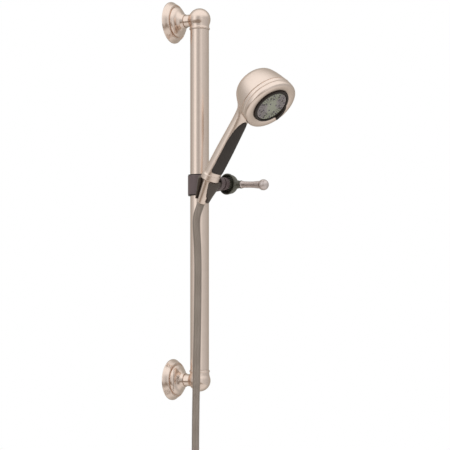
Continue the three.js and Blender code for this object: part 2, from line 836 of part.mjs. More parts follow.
/** The black ring round the face, with the thumb tab that turns it. */
function selectorRing() {
  const front = FACE_PROUD;
  const ring = solid(
    turned(
      [
        [RING_INNER, front - 5],
        [RING_INNER, front - 1.2],
        [RING_INNER + 0.6, front - 0.6],
        [RING_OUTER - 0.8, front - 0.6],
        [RING_OUTER, front - 1.4],
        [RING_OUTER, front - 5],
        [RING_OUTER - 0.4, front - 5.4],
        [RING_OUTER - 0.4, -14.3],
        [RING_OUTER - 2, -14.3],
        [RING_OUTER - 2, front - 5.4],
      ],
      24,
    ),
  );
  const tab = solid(
    turned(
      [
        [RING_OUTER - 1.4, front - 3],
        [RING_OUTER - 0.2, front - 3],
        [RING_OUTER - 0.2, front + 0.3],
        [36, front + 0.1],
        [36.8, front + 0.9],
        [36, front + 2.2],
        [33, front + 2.9],
        [29.8, front + 1.5],
        [28.4, front - 1.2],
      ],
      60,
    ),
  );
  const wedge = new THREE.Shape();
  wedge.moveTo(0, 0);
  wedge.absarc(0, 0, 60, rad(TAB_ANGLE - TAB_SPAN / 2), rad(TAB_ANGLE + TAB_SPAN / 2), false);
  const sector = new THREE.ExtrudeGeometry(wedge, { depth: 20, bevelEnabled: false, curveSegments: 6 });
  return ring.add(tab.intersect(solid(sector.translate(0, 0, -10))));
}

const VALVE_FRONT = -15; // depth of the face that the diverter turns on

/** The fixed valve body: it closes the water chamber and carries the diverter on its post. */
function valveBody() {
  let body = solid(
    turned(
      [
        [0, VALVE_SEAT + GAP],
        [VALVE_RADIUS, VALVE_SEAT + GAP],
        [VALVE_RADIUS, -20.6],
        [38.6, -20.6],
        [38.6, -18],
        [VALVE_RADIUS, -18],
        [VALVE_RADIUS, VALVE_FRONT],
        [5, VALVE_FRONT],
        [5, FACE_PROUD - 4.9],
        [0, FACE_PROUD - 4.9],
      ],
      22,
    ),
  );
  for (const place of ringOf(3, PORT_CIRCLE, 90))
    body = body.subtract(solid(rod(3, -30, -10, 8).translate(...place, 0)));
  for (const place of valveScrewPlaces())
    body = body.subtract(solid(rod(1.8, -30, -10, 6).translate(...place, 0)));
  return body.subtract(solid(rod(2.5, -22.6, -10, 8).translate(DETENT_CIRCLE, 0, 0)));
}

/** The seal in the groove round the valve body. */
const headSeal = () => solid(turned([[39.2, -20.2], [40.3, -19.9], [40.3, -18.7], [39.2, -18.4]], 24));

/** A self-tapping screw of the valve body, with a pan head. */
function valveScrew() {
  const seat = VALVE_FRONT + GAP;
  const top = seat + 1.5;
  return solid(
    turned([[0, top], [2.4, top], [3.1, top - 0.6], [3.1, seat], [1.2, seat], [1.2, -30], [0, -31]], 8),
  );
}

/** The coil spring under the click ball. */
function detentSpring() {
  const turns = 3;
  const [low, high] = [-22.2, -19.2];
  const points = Array.from({ length: 8 * turns + 1 }, (_, i) => {
    const t = (2 * Math.PI * i) / 8;
    return new THREE.Vector3(1.6 * Math.cos(t), 1.6 * Math.sin(t), low + ((high - low) * i) / (8 * turns));
  });
  return solid(along(new THREE.CatmullRomCurve3(points), 0.19, 0, 8 * turns, 6));
}

/** The head's inner pieces, in its own frame: +Z is the way the water leaves. */
function sprayHead() {
  const head = placed(0, -FACE_OUT, FACE_UP, { x: 90 + FACE_TILT });
  head.add(
    piece("head_bezel", headBezel(), NICKEL),
    piece("face_plate", facePlate(), FACE_PLASTIC),
    piece("nozzle_mat", nozzleMat(), NOZZLE_RUBBER),
    piece("turbine", turbine(), WHITE_PLASTIC),
    piece("diverter_disc", diverterDisc(), WHITE_PLASTIC),
    piece("selector_ring", selectorRing(), BLACK_PLASTIC),
    piece("valve_body", valveBody(), WHITE_PLASTIC),
    piece("head_seal", headSeal(), SEAL_RUBBER),
  );
  valveScrewPlaces().forEach(([x, y], i) => {
    const screw = piece(`valve_screw_${i + 1}`, valveScrew(), STEEL);
    screw.position.set(x, y, 0);
    head.add(screw);
  });
  const spring = piece("detent_spring", detentSpring(), STEEL);
  const round = turned(arc([0, -16.8], 1.9, -90, 90, 6).map(onAxisEnds), 8);
  const ball = piece("detent_ball", solid(round), STEEL);
  for (const part of [spring, ball]) part.position.x = DETENT_CIRCLE;
  head.add(spring, ball);
  return head;
}

/** The whole handset, standing in the cup. */
function handset() {
  const group = new THREE.Group();
  const tube = solid(along(handleCurve(12.8, 145), WATERWAY_RADIUS, WATERWAY_RADIUS - 1.9, 7, 8));
  group.add(
    piece("handset_shell", handsetShell(), NICKEL),
    piece("grip_pad", gripPad(), GRIP_RUBBER),
    piece("water_tube", tube, WHITE_PLASTIC),
    piece("inlet_nipple", inletNipple(), BRASS),
    piece("flow_regulator", flowRegulator(), WHITE_PLASTIC),
    piece("cone_nut", coneNut(), NICKEL),
    piece("hose_washer", solid(washer(5.4, 9.7, -14.3, -12.4)), SEAL_RUBBER),
    piece("hose_fitting", hoseFitting(), BRASS),
    sprayHead(),
  );
  return group;
}

// ---------------------------------------------------------------- hose

// The free run's middle line: straight out of the nut, round into the plumb, and down.
const HOSE_ROUTE = [
  [-38.61, -79.24, 296.2],
  [-38.16, -77.25, 292.19],
  [-37.7, -75.26, 288.18],
  [-37.26, -73.31, 284.26],
  [-36.6, -70.82, 278.3],
  [-36.0, -69.17, 272.6],
  [-35.45, -68.15, 266.7],
  [-34.95, -67.8, 260.7],
  [-34.3, -68.1, 249],
  [-33.5, -68.75, 234],
  [-32.8, -69.25, 214],
  [-32.35, -69.4, 190],
  [-32.15, -69.2, 162],
  [-32.2, -68.85, 130],
  [-32.5, -68.3, 85],
  [-33.1, -67.5, 35],
  [-33.75, -66.7, -20],
  [-34.25, -66.1, -70],
  [-34.45, -65.9, -110],
  [-34.45, -65.9, -127],
  [-34.45, -65.9, -140],
].map((p) => new THREE.Vector3(...p));

const HOSE_CURVE = new THREE.CatmullRomCurve3(HOSE_ROUTE, false, "centripetal");

/** Points along a curve with two directions square to it, carried along without a twist. */
function stations(curve, count) {
  const { normals, binormals } = curve.computeFrenetFrames(count, false);
  return Array.from({ length: count + 1 }, (_, i) => ({
    centre: curve.getPointAt(i / count),
    across: normals[i],
    up: binormals[i],
  }));
}

/** The ribbed run: two rings to a rib outside, and a smooth bore inside with a ring every 5 ribs. */
function ribbedHose(curve, ribs) {
  const sides = 8;
  const crest = HOSE_DIAMETER / 2;
  const places = stations(curve, 2 * ribs);
  const ring = ({ centre, across, up }, radius) =>
    Array.from({ length: sides }, (_, i) => {
      const t = (2 * Math.PI * i) / sides;
      return centre
        .clone()
        .addScaledVector(across, radius * Math.cos(t))
        .addScaledVector(up, radius * Math.sin(t));
    });
  const outside = places.map((p, i) => ring(p, i % 2 ? crest : crest - 0.7));
  const inside = places.filter((_, i) => i % 10 === 0).map((p) => ring(p, HOSE_BORE_RADIUS));
  const rings = [...outside, ...inside.reverse()];
  const faces = [];
  rings.forEach((a, k) => {
    const b = rings[(k + 1) % rings.length];
    for (let i = 0; i < sides; i++) {
      const j = (i + 1) % sides;
      faces.push(a[i], a[j], b[j], a[i], b[j], b[i]);
    }
  });
  return solid(new THREE.BufferGeometry().setFromPoints(faces));
}

/** The put-away length: folded to and fro in two layers, drawn in where the tie goes round it. */
function hankPoints(length) {
  const [x0, y0, z0] = HOSE_ROUTE.at(-1).toArray();
  const bottom = HANK_TOP - HANK_RUN;
  const middle = x0 - FOLD_RADIUS;
  const halfWidth = (z) => {
    const t = (z - bottom) / HANK_RUN;
    return FOLD_RADIUS - (t > 0 && t < 1 ? WAIST_DRAW * Math.sin(Math.PI * t) ** 2 : 0);
  };
  const smooth = (t) => t * t * (3 - 2 * t);
  const points = [new THREE.Vector3(x0, y0, z0 - GAP)];
  const run = (side, from, to, layer, climb, steps) => {
    for (let i = 1; i <= steps; i++) {
      const z = from + ((to - from) * i) / steps;
      const y = y0 - HANK_PITCH * (layer + climb * smooth(i / steps));
      points.push(new THREE.Vector3(middle + side * halfWidth(z), y, z));
    }
  };
  const fold = (side, z, way, layer) => {
    for (let i = 1; i <= 8; i++) {
      const t = (Math.PI * i) / 8;
      points.push(
        new THREE.Vector3(
          middle + side * FOLD_RADIUS * Math.cos(t),
          y0 - HANK_PITCH * layer,
          z + way * FOLD_RADIUS * Math.sin(t),
        ),
      );
    }
  };
  run(1, z0 - GAP, HANK_TOP, 0, 0, 3);
  run(1, HANK_TOP, bottom, 0, 0, 8);
  fold(1, bottom, -1, 0);
  run(-1, bottom, HANK_TOP, 0, 1, 8);
  fold(-1, HANK_TOP, 1, 1);
  run(1, HANK_TOP, bottom, 1, 0, 8);
  fold(1, bottom, -1, 1);
  const folded = new THREE.CatmullRomCurve3(points, false, "centripetal").getLength();
  const left = length - folded;
  const end = bottom + left;
  const lift = (z) => HANK_PITCH * smooth((z - bottom) / HANK_RUN) + END_DRIFT * smooth((z - bottom) / left);
  for (let i = 1; i <= 5; i++) {
    const z = bottom + (Math.min(i, 4) * (left - HOSE_DIAMETER)) / 4 + (i === 5 ? HOSE_DIAMETER : 0);
    const level = Math.min(z, end - HOSE_DIAMETER);
    points.push(new THREE.Vector3(middle - halfWidth(level), y0 - HANK_PITCH - lift(level), z));
  }
  return points;
}

/** The least gap between stretches of a tube that are more than a few diameters apart along it. */
function leastGap(curve, diameter) {
  const length = curve.getLength();
  const count = Math.round(length / 4);
  const points = curve.getSpacedPoints(count);
  const skip = Math.ceil((3 * diameter) / (length / count));
  let least = Infinity;
  for (let i = 0; i < points.length; i++)
    for (let j = i + skip; j < points.length; j++) least = Math.min(least, points[i].distanceTo(points[j]));
  return least - diameter;
}

/** The hose, with its hank, tie and supply end. */
function hose() {
  const group = new THREE.Group();
  const free = HOSE_CURVE.getLength();
  const points = hankPoints(HOSE_LENGTH - free);
  const hank = new THREE.CatmullRomCurve3(points, false, "centripetal");
  const whole = free + hank.getLength();
  const gap = leastGap(hank, HOSE_DIAMETER);
  console.log(`hose ${whole.toFixed(1)} mm long, ${gap.toFixed(2)} mm least gap`);
  group.add(piece("hose_run", ribbedHose(HOSE_CURVE, HOSE_RIBS), STEEL));
  const loops = (HOSE_LENGTH - free) / (2 * HANK_RUN + 2 * Math.PI * FOLD_RADIUS);
  const hexagon = along(hank, HOSE_DIAMETER / 2, 0, Math.round(24 * loops), 6);
  group.add(piece("hose_hank", solid(hexagon), STEEL));
  const [x0, y0] = HOSE_ROUTE.at(-1).toArray();
  const tie = piece("hank_tie", hankTie(), STRAP);
  tie.position.set(x0 - FOLD_RADIUS, y0 - HANK_PITCH / 2, HANK_TOP - HANK_RUN / 2 - TIE_HEIGHT / 2);
  const end = points.at(-1);
  const supply = placed(end.x, end.y, end.z);
  supply.add(
    piece("supply_fitting", supplyFitting(), BRASS),
    piece("supply_nut", supplyNut(), NICKEL),
    piece("supply_washer", solid(washer(5.4, 9.7, 13, 15)), SEAL_RUBBER),
  );
  group.add(tie, supply);
  return group;
}

/** The strap round the hank's waist: two runs lie in its near end and one in its far end. */
function hankTie() {
  const clear = 1;
  const half = FOLD_RADIUS - WAIST_DRAW;
  const apart = HANK_PITCH / 2;
  const slope = Math.atan2(apart, 2 * half);
  const loop = (path, grow) => {
    const radius = HOSE_DIAMETER / 2 + clear + grow;
    path.absarc(half, -apart, radius, -Math.PI / 2 - slope, 0, false);
    path.absarc(half, apart, radius, 0, Math.PI / 2 + slope, false);
    path.absarc(-half, 0, radius, Math.PI / 2 + slope, 1.5 * Math.PI - slope, false);
    return path;
  };
  const band = loop(new THREE.Shape(), 1.6);
  band.holes.push(loop(new THREE.Path(), 0));
  return solid(new THREE.ExtrudeGeometry(band, { depth: TIE_HEIGHT, bevelEnabled: false, curveSegments: 4 }));
}

/** The barbed end of the hose that the supply nut turns on. */
function supplyFitting() {
  const ferrule = [[7.4, GAP], [7.8, 1], [7.8, 7]];
  const neck = [[6, 7.6], [6, 10.2]];
  const flange = [[9.3, 10.2], [9.3, 12.6]];
  const bore = [[HOSE_BORE_RADIUS, 12.6], [HOSE_BORE_RADIUS, GAP]];
  return solid(turned([...bore, ...ferrule, ...neck, ...flange], 12));
}

/** The free-spinning nut that screws on to the supply. */
function supplyNut() {
  return solid(
    turned([[6.4, 8], [10.6, 8], [12, 9.2], [12, 23], [10.2, 23], [9.9, 12.9], [9.7, 10], [6.4, 9.8]], 16),
  );
}

// ---------------------------------------------------------------- the whole object

const root = new THREE.Group();
root.add(wallBracket("lower", true), wallBracket("upper", false));
const bar = piece("bar_tube", barTube(), NICKEL);
bar.position.y = -BAR_OUT;
root.add(bar);

const slider = placed(0, -BAR_OUT, SLIDER_HEIGHT, { z: SLIDER_TURN });
slider.add(
  piece("slider_bush", sliderBush(), BLACK_PLASTIC),
  piece("clamp_body", clampBody(), SLEEVE_PLASTIC),
);
const pivot = placed(0, -PIVOT_OUT, 0);
const acrossPivot = placed(0, 0, 0, { y: 90 });
const washerFrom = EAR_FACE;
const washerTo = EAR_FACE + WASHER_THICKNESS;
const ring = (from, to) => solid(washer(PIVOT_RADIUS + GAP, WASHER_RADIUS, from, to));
acrossPivot.add(
  piece("pivot_stud", pivotStud(), STEEL),
  piece("thrust_washer", ring(washerFrom, washerTo), STEEL),
  piece("friction_washer", ring(-washerTo, -washerFrom), BLACK_PLASTIC),
);
pivot.add(acrossPivot, lever());
const cradle = placed(CUP_X, -CUP_OUT, CUP_UP, { x: CUP_TILT });
cradle.add(piece("cradle_cup", cradleCup(), DARK_PLASTIC), handset());
slider.add(pivot, cradle);
root.add(slider, hose());

export default root;
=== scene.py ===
"""Looks for a wall bar with a sliding cradle, a handheld shower head and its hose.

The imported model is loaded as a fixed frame. Round parts are turned again from fine profiles, cast and
moulded parts are carved as implicit surfaces, the hose and the nozzles are made by Geometry Nodes, and
every part gets a finish. Sizes are millimetres in each part's own frame; meshes are made in metres.
"""

import json
import logging
import math
from dataclasses import dataclass
from enum import Enum
from functools import partial
from typing import Callable, Iterable, Sequence

import bpy
import numpy as np
from mathutils import Matrix, Vector


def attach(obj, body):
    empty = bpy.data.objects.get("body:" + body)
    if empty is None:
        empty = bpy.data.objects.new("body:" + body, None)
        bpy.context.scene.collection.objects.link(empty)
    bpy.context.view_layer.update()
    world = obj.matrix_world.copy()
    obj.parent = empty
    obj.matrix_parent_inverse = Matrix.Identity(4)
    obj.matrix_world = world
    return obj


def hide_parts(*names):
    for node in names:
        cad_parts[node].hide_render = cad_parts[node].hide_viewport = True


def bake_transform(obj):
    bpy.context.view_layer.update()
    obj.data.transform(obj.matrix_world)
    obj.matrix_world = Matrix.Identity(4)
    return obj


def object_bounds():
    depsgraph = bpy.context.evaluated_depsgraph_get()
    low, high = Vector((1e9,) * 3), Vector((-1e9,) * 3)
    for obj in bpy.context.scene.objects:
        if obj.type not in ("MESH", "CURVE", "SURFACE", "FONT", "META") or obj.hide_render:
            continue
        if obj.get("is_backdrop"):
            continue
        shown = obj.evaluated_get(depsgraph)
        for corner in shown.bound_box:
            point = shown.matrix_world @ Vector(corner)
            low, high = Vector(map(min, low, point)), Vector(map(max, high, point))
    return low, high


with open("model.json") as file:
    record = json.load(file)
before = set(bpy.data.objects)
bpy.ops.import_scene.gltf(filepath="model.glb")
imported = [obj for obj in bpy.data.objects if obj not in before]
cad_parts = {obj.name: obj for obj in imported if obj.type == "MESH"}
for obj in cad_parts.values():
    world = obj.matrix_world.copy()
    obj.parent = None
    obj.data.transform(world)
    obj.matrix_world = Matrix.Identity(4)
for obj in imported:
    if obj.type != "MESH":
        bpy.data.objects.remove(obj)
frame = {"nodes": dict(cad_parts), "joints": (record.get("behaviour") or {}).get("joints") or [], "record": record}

log = logging.getLogger("shower_set")

MM = 0.001
Profile = Sequence[tuple[float, float]]
Array = np.ndarray
Field = Callable[[Array, Array, Array], Array]
Socket = bpy.types.NodeSocket
Adder = Callable[..., Socket]  # add_node with its tree already given

INCH = 25.4
GAP = 0.3  # clearance between parts that touch


# ---------------------------------------------------------------- places


def shift(x: float, y: float, z: float) -> Matrix:
    """A move by millimetres."""
    return Matrix.Translation(Vector((x, y, z)) * MM)


def about(axis: str, degrees: float) -> Matrix:
    """A turn about one of the axes."""
    return Matrix.Rotation(math.radians(degrees), 4, axis)


def joint(name: str) -> dict:
    """The record of a joint of the frame."""
    return next(j for j in frame["joints"] if j["name"] == name)


def upright_on(origin: Vector, sideways: Vector, up: Vector) -> Matrix:
    """A place whose X axis is sideways and whose Z axis is up.

    Args:
        origin: Where it stands, in metres.
        sideways: Direction of its X axis.
        up: Direction of its Z axis.

    Returns:
        The place as a 4 by 4 matrix.
    """
    x = sideways.normalized()
    z = (up - up.dot(x) * x).normalized()
    turn = Matrix((x, z.cross(x), z)).transposed().to_4x4()
    return Matrix.Translation(origin) @ turn


NUT_LENGTH = 41.0
NUT_TOP, NUT_TIP_RADIUS = 12.3, 7.9  # outer radii of the hose nut's two ends
SUPPLY_NUT_MIDDLE = 15.5  # from the end of the hose to the middle of the supply nut
ACROSS = Vector(joint("lever_turn")["axis"])
UP = Vector(joint("handset_lift")["axis"])
SLIDER = upright_on(Vector(joint("slider_swivel")["pos_m"]), ACROSS, Vector((0, 0, 1)))
PIVOT = upright_on(Vector(joint("lever_turn")["pos_m"]), ACROSS, Vector((0, 0, 1)))
NUT_TIP = Vector(joint("hose_swing")["pos_m"])
CUP = upright_on(NUT_TIP + UP * NUT_LENGTH * MM, ACROSS, UP)
SPRAY = joint("spray_selector_turn")
HEAD = upright_on(Vector(SPRAY["pos_m"]), ACROSS, Vector(SPRAY["axis"]))
HOSE_END = Matrix.Translation(Vector(joint("supply_nut_spin")["pos_m"])) @ shift(0, 0, -SUPPLY_NUT_MIDDLE)
HEAD_IN_CUP = CUP.inverted() @ HEAD


# ---------------------------------------------------------------- profiles


def arc(centre: tuple[float, float], radius: float, start: float, end: float, steps: int = 12) -> list:
    """Points of an arc between two angles in degrees."""
    angles = np.radians(np.linspace(start, end, steps + 1))
    return [(centre[0] + radius * math.cos(t), centre[1] + radius * math.sin(t)) for t in angles]


def bent(*points: tuple, steps: int = 10) -> list:
    """Points of a Bezier curve with these control points, without its first."""
    out = []
    for t in np.linspace(0, 1, steps + 1)[1:]:
        p = np.array(points, float)
        while len(p) > 1:
            p = (1 - t) * p[:-1] + t * p[1:]
        out.append(tuple(p[0]))
    return out


def ring_section(inner: float, outer: float, low: float, high: float) -> list:
    """The section of a plain ring or tube."""
    return [(inner, low), (outer, low), (outer, high), (inner, high)]


def flowing(points: Profile, steps: int = 5) -> list:
    """Draws one smooth line through points.

    Args:
        points: The points it passes through.
        steps: How many stretches it makes between two of them.

    Returns:
        The points of the line, both ends included.
    """
    p = np.array(points, float)
    p = np.vstack([2 * p[0] - p[1], p, 2 * p[-1] - p[-2]])
    out = []
    for a, b, c, d in zip(p, p[1:], p[2:], p[3:]):
        chords = [max(np.linalg.norm(q - r), 1e-6) ** 0.5 for q, r in ((a, b), (b, c), (c, d))]
        knots = np.cumsum([0.0, *chords])
        for t in np.linspace(knots[1], knots[2], steps, endpoint=False):
            out.append(_between(a, b, c, d, knots, t))
    out.append(p[-2])
    return [tuple(float(v) for v in q) for q in out]


def _between(a: Array, b: Array, c: Array, d: Array, k: Array, t: float) -> Array:
    """The point at t of the centripetal curve through four points whose knots are k."""

    def mix(p: Array, q: Array, u: float, v: float) -> Array:
        return p + (q - p) * ((t - u) / (v - u))

    ab, bc, cd = mix(a, b, k[0], k[1]), mix(b, c, k[1], k[2]), mix(c, d, k[2], k[3])
    return mix(mix(ab, bc, k[0], k[2]), mix(bc, cd, k[1], k[3]), k[1], k[2])


SMOOTH_ALREADY = 9  # degrees of turn up to which a corner stays as it is


def eased(points: Profile, radius: float, closed: bool = False) -> list:
    """Rounds every corner of an outline that turns by more than a few degrees.

    Args:
        points: Its corners.
        radius: The radius at each corner, less where its sides are short.
        closed: Whether its last corner joins its first.

    Returns:
        The corners and the points of their arcs.
    """
    p = [np.array(q, float) for q in points]
    out = []
    for i, here in enumerate(p):
        if not closed and i in (0, len(p) - 1):
            out.append(tuple(here))
            continue
        before, after = p[i - 1] - here, p[(i + 1) % len(p)] - here
        la, lb = np.linalg.norm(before), np.linalg.norm(after)
        ua, ub = before / la, after / lb
        turn = math.pi - math.acos(float(np.clip(ua @ ub, -1, 1)))
        if turn < math.radians(SMOOTH_ALREADY):
            out.append(tuple(here))
            continue
        reach = min(radius * math.tan(turn / 2), 0.4 * la, 0.4 * lb)
        start = tuple(here + ua * reach)
        out += [start, *bent(start, here, here + ub * reach, steps=4)]
    return out


# ---------------------------------------------------------------- meshes


def placed(name: str, data: bpy.types.ID) -> bpy.types.Object:
    """Puts a new object in the scene."""
    thing = bpy.data.objects.new(name, data)
    bpy.context.scene.collection.objects.link(thing)
    return thing


def make_piece(name: str, points: Array, faces: list, place: Matrix, normals: Array) -> bpy.types.Object:
    """Makes a smooth mesh object with given normals, its object at the origin.

    Args:
        name: The piece's name.
        points: Its vertices in millimetres, in the frame of place.
        faces: Its faces, all the same way round.
        place: Where that frame is.
        normals: One outward direction for each vertex.

    Returns:
        The object, linked to the scene.
    """
    matrix = np.array(place)
    world = (points * MM) @ matrix[:3, :3].T + matrix[:3, 3]
    mesh = bpy.data.meshes.new(name)
    mesh.from_pydata(world.tolist(), [], [tuple(f) for f in faces])
    mesh.shade_smooth()
    mesh.normals_split_custom_set_from_vertices((normals @ matrix[:3, :3].T).tolist())
    mesh.update()
    return placed(name, mesh)


def joined(name: str, parts: Sequence[bpy.types.Object]) -> bpy.types.Object:
    """Puts several meshes that make one piece in one object."""
    for other in bpy.context.selected_objects:
        other.select_set(False)
    for part in parts:
        part.select_set(True)
    bpy.context.view_layer.objects.active = parts[0]
    bpy.ops.object.join()
    parts[0].select_set(False)
    parts[0].name = name
    return parts[0]


def outline_normals(points: Sequence, closed: bool) -> Array:
    """Directions square to an outline at each of its points, led by its longer side there."""
    p = np.array(points, float)
    step = np.roll(p, -1, axis=0) - p
    if not closed:
        step[-1] = 0
    side = np.stack([step[:, 1], -step[:, 0]], axis=1)
    total = side + np.roll(side, 1, axis=0)
    return total / np.maximum(np.linalg.norm(total, axis=1, keepdims=True), 1e-9)


def turned(
    name: str, profile: Profile, place: Matrix, segments: int = 96, ease: float = 0.35
) -> bpy.types.Object:
    """Turns a profile about the Z axis of a place.

    Args:
        name: The piece's name.
        profile: Its (radius, height) corners. It closes on itself, or starts and ends on the axis.
        place: Where the axis stands.
        segments: How many sides it has.
        ease: Radius of its corners.

    Returns:
        The closed piece.
    """
    on_axis = profile[0][0] == 0 and profile[-1][0] == 0
    line = eased(profile, ease, closed=not on_axis)
    area = sum(a[0] * b[1] - b[0] * a[1] for a, b in zip(line, line[1:] + line[:1]))
    if area < 0:
        line = line[::-1]
    flat = outline_normals(line, closed=not on_axis)
    if on_axis:
        flat[0], flat[-1] = (0, -1), (0, 1)
    angles = np.linspace(0, 2 * np.pi, segments, endpoint=False)
    cos, sin = np.cos(angles), np.sin(angles)
    points, normals, rings = [], [], []
    for (r, z), (nr, nz) in zip(line, flat):
        count = 1 if r < 1e-9 else segments
        rings.append([len(points) + i for i in range(count)])
        for c, s in list(zip(cos, sin))[:count]:
            points.append((r * c, r * s, z))
            normals.append((nr * c, nr * s, nz))
    faces = []
    for a, b in zip(rings, rings[1:] + ([] if on_axis else rings[:1])):
        for i in range(segments):
            j = (i + 1) % segments
            corners = [a[i % len(a)], a[j % len(a)], b[j % len(b)], b[i % len(b)]]
            faces.append(list(dict.fromkeys(corners)))
    return make_piece(name, np.array(points), faces, place, np.array(normals))


# ---------------------------------------------------------------- implicit surfaces


def outline_distance(x: Array, y: Array, corners: Sequence) -> Array:
    """Signed distance to a closed outline in a plane, negative inside it."""
    nearest = np.full(x.shape, np.inf)
    inside = np.zeros(x.shape, bool)
    for (ax, ay), (bx, by) in zip(corners, list(corners[1:]) + [corners[0]]):
        ex, ey = bx - ax, by - ay
        length = ex * ex + ey * ey
        if length < 1e-12:
            continue
        wx, wy = x - ax, y - ay
        t = np.clip((wx * ex + wy * ey) / length, 0, 1)
        nearest = np.minimum(nearest, (wx - ex * t) ** 2 + (wy - ey * t) ** 2)
        if ey:
            inside ^= ((ay > y) != (by > y)) & (wx < ex * wy / ey)
    return np.where(inside, -1, 1) * np.sqrt(nearest)


def turned_distance(x: Array, y: Array, z: Array, profile: Profile) -> Array:
    """Signed distance to a profile turned about Z, mirrored so that its axis is no wall."""
    corners = list(profile)
    if corners[0][0] == 0 and corners[-1][0] == 0:
        corners += [(-r, h) for r, h in reversed(corners[1:-1])]
    return outline_distance(np.hypot(x, y), z, corners)


def slab(value: Array, low: float, high: float) -> Array:
    """Signed distance to the space between two parallel planes."""
    return np.maximum(low - value, value - high)


def pin(a: Array, b: Array, along: Array, radius: float, low: float, high: float) -> Array:
    """Signed distance to a round pin, from its two offsets and the height along it."""
    return np.maximum(np.hypot(a, b) - radius, slab(along, low, high))


def fuse(a: Array, b: Array, fillet: float) -> Array:
    """Joins two solids with a fillet of about that radius between them."""
    h = np.clip(0.5 + 0.5 * (b - a) / fillet, 0, 1)
    return b + (a - b) * h - fillet * h * (1 - h)


def common(a: Array, b: Array, round_over: float) -> Array:
    """What two solids share, with its new edges rounded."""
    return -fuse(-a, -b, round_over)


def cut(a: Array, b: Array, round_over: float) -> Array:
    """Takes the second solid out of the first and rounds the edges that this makes."""
    return common(a, -b, round_over)


def moved(place: Matrix, x: Array, y: Array, z: Array) -> list[Array]:
    """The same points as seen from a place inside the present frame, in millimetres."""
    back = np.array(place.inverted())
    offset = back[:3, 3] / MM
    return [back[i, 0] * x + back[i, 1] * y + back[i, 2] * z + offset[i] for i in range(3)]


COARSE = 4  # fine steps in one step of the first, rough look
NEAR = 7.0  # how many fine cells from the surface still get an exact value
PULLS = 4  # how often the vertices are drawn on to the exact surface
PULL = 0.45  # how far that moves a vertex each time at most, in cells


def grid_values(field: Field, axes: list[Array], cell: float) -> Array:
    """Values of a solid's distance on a grid, exact near its surface and rough elsewhere."""
    rough_axes = [a[::COARSE] for a in axes]
    rough = field(*(g.ravel() for g in np.meshgrid(*rough_axes, indexing="ij")))
    rough = rough.reshape([len(a) for a in rough_axes])
    pick = [
        np.minimum((np.arange(len(a)) + COARSE // 2) // COARSE, len(r) - 1) for a, r in zip(axes, rough_axes)
    ]
    values = rough[np.ix_(*pick)]
    near = np.nonzero(np.abs(values) < NEAR * cell)
    values[near] = field(*(a[i] for a, i in zip(axes, near)))
    return values


def slope(field: Field, p: Array, step: float) -> Array:
    """The distance's gradient at each point."""
    parts = []
    for axis in range(3):
        ahead, behind = p.copy(), p.copy()
        ahead[:, axis] += step
        behind[:, axis] -= step
        parts.append((field(*ahead.T) - field(*behind.T)) / (2 * step))
    return np.stack(parts, axis=1)


def carved(
    name: str, field: Field, low: Sequence, high: Sequence, cell: float, place: Matrix
) -> bpy.types.Object:
    """Meshes a solid that is given by its signed distance, as a surface net.

    Args:
        name: The piece's name.
        field: Signed distance in millimetres, negative inside.
        low: Lowest corner of the box that holds the solid.
        high: Highest corner of that box.
        cell: Size of the net's cells.
        place: Where the solid's frame is.

    Returns:
        The closed piece, its vertices drawn on to the exact surface.
    """
    axes = [np.arange(a - 2 * cell, b + 3 * cell, cell) for a, b in zip(low, high)]
    values = grid_values(field, axes, cell)
    inside = values < 0
    size = [n - 1 for n in values.shape]
    wide, deep, tall = size
    offsets = list(np.ndindex(2, 2, 2))
    count = sum(inside[i : wide + i, j : deep + j, k : tall + k].astype(np.int8) for i, j, k in offsets)
    cells = np.stack(np.nonzero((count > 0) & (count < 8)), axis=1)
    number = np.full(size, -1, np.int64)
    number[tuple(cells.T)] = np.arange(len(cells))
    total, crossings = np.zeros((len(cells), 3)), np.zeros(len(cells))
    for start in offsets:
        for axis in range(3):
            if start[axis]:
                continue
            end = tuple(v + (i == axis) for i, v in enumerate(start))
            a = values[tuple((cells + start).T)]
            b = values[tuple((cells + end).T)]
            crosses = (a < 0) != (b < 0)
            t = np.where(crosses, a / np.where(crosses, a - b, 1), 0)
            spot = np.array(start, float) + t[:, None] * (np.arange(3) == axis)
            total += spot * crosses[:, None]
            crossings += crosses
    origin = np.array([a[0] for a in axes])
    points = origin + (cells + total / crossings[:, None]) * cell
    for _ in range(PULLS):
        g = slope(field, points, 0.05)
        d = field(*points.T)
        step = g * (d / np.maximum((g * g).sum(axis=1), 0.05))[:, None]
        points -= np.clip(step, -PULL * cell, PULL * cell)
    normals = slope(field, points, 0.12 * cell)
    normals /= np.maximum(np.linalg.norm(normals, axis=1, keepdims=True), 1e-9)
    return make_piece(name, points, net_faces(inside, number), place, normals)


def net_faces(inside: Array, number: Array) -> list:
    """The quads of a surface net: one round each grid edge whose ends differ."""
    quads = []
    for axis in range(3):
        b, c = (axis + 1) % 3, (axis + 2) % 3
        changes = np.diff(inside.astype(np.int8), axis=axis) != 0
        at = np.stack(np.nonzero(changes), axis=1)
        at = at[(at[:, b] > 0) & (at[:, c] > 0)]
        at = at[(at[:, b] < number.shape[b]) & (at[:, c] < number.shape[c])]
        ring = []
        for db, dc in ((-1, -1), (0, -1), (0, 0), (-1, 0)):
            spot = at.copy()
            spot[:, b] += db
            spot[:, c] += dc
            ring.append(number[tuple(spot.T)])
        quad = np.stack(ring, axis=1)
        leaves = inside[tuple(at.T)]
        quad[~leaves] = quad[~leaves][:, ::-1]
        quads.append(quad)
    return np.vstack(quads).tolist()


# ---------------------------------------------------------------- finishes


def linear(hex_colour: str) -> tuple[float, float, float, float]:
    """Turns an sRGB hex colour to a linear one."""
    channels = [int(hex_colour[i : i + 2], 16) / 255 for i in (1, 3, 5)]
    return (*((c / 12.92 if c <= 0.04045 else ((c + 0.055) / 1.055) ** 2.4) for c in channels), 1.0)


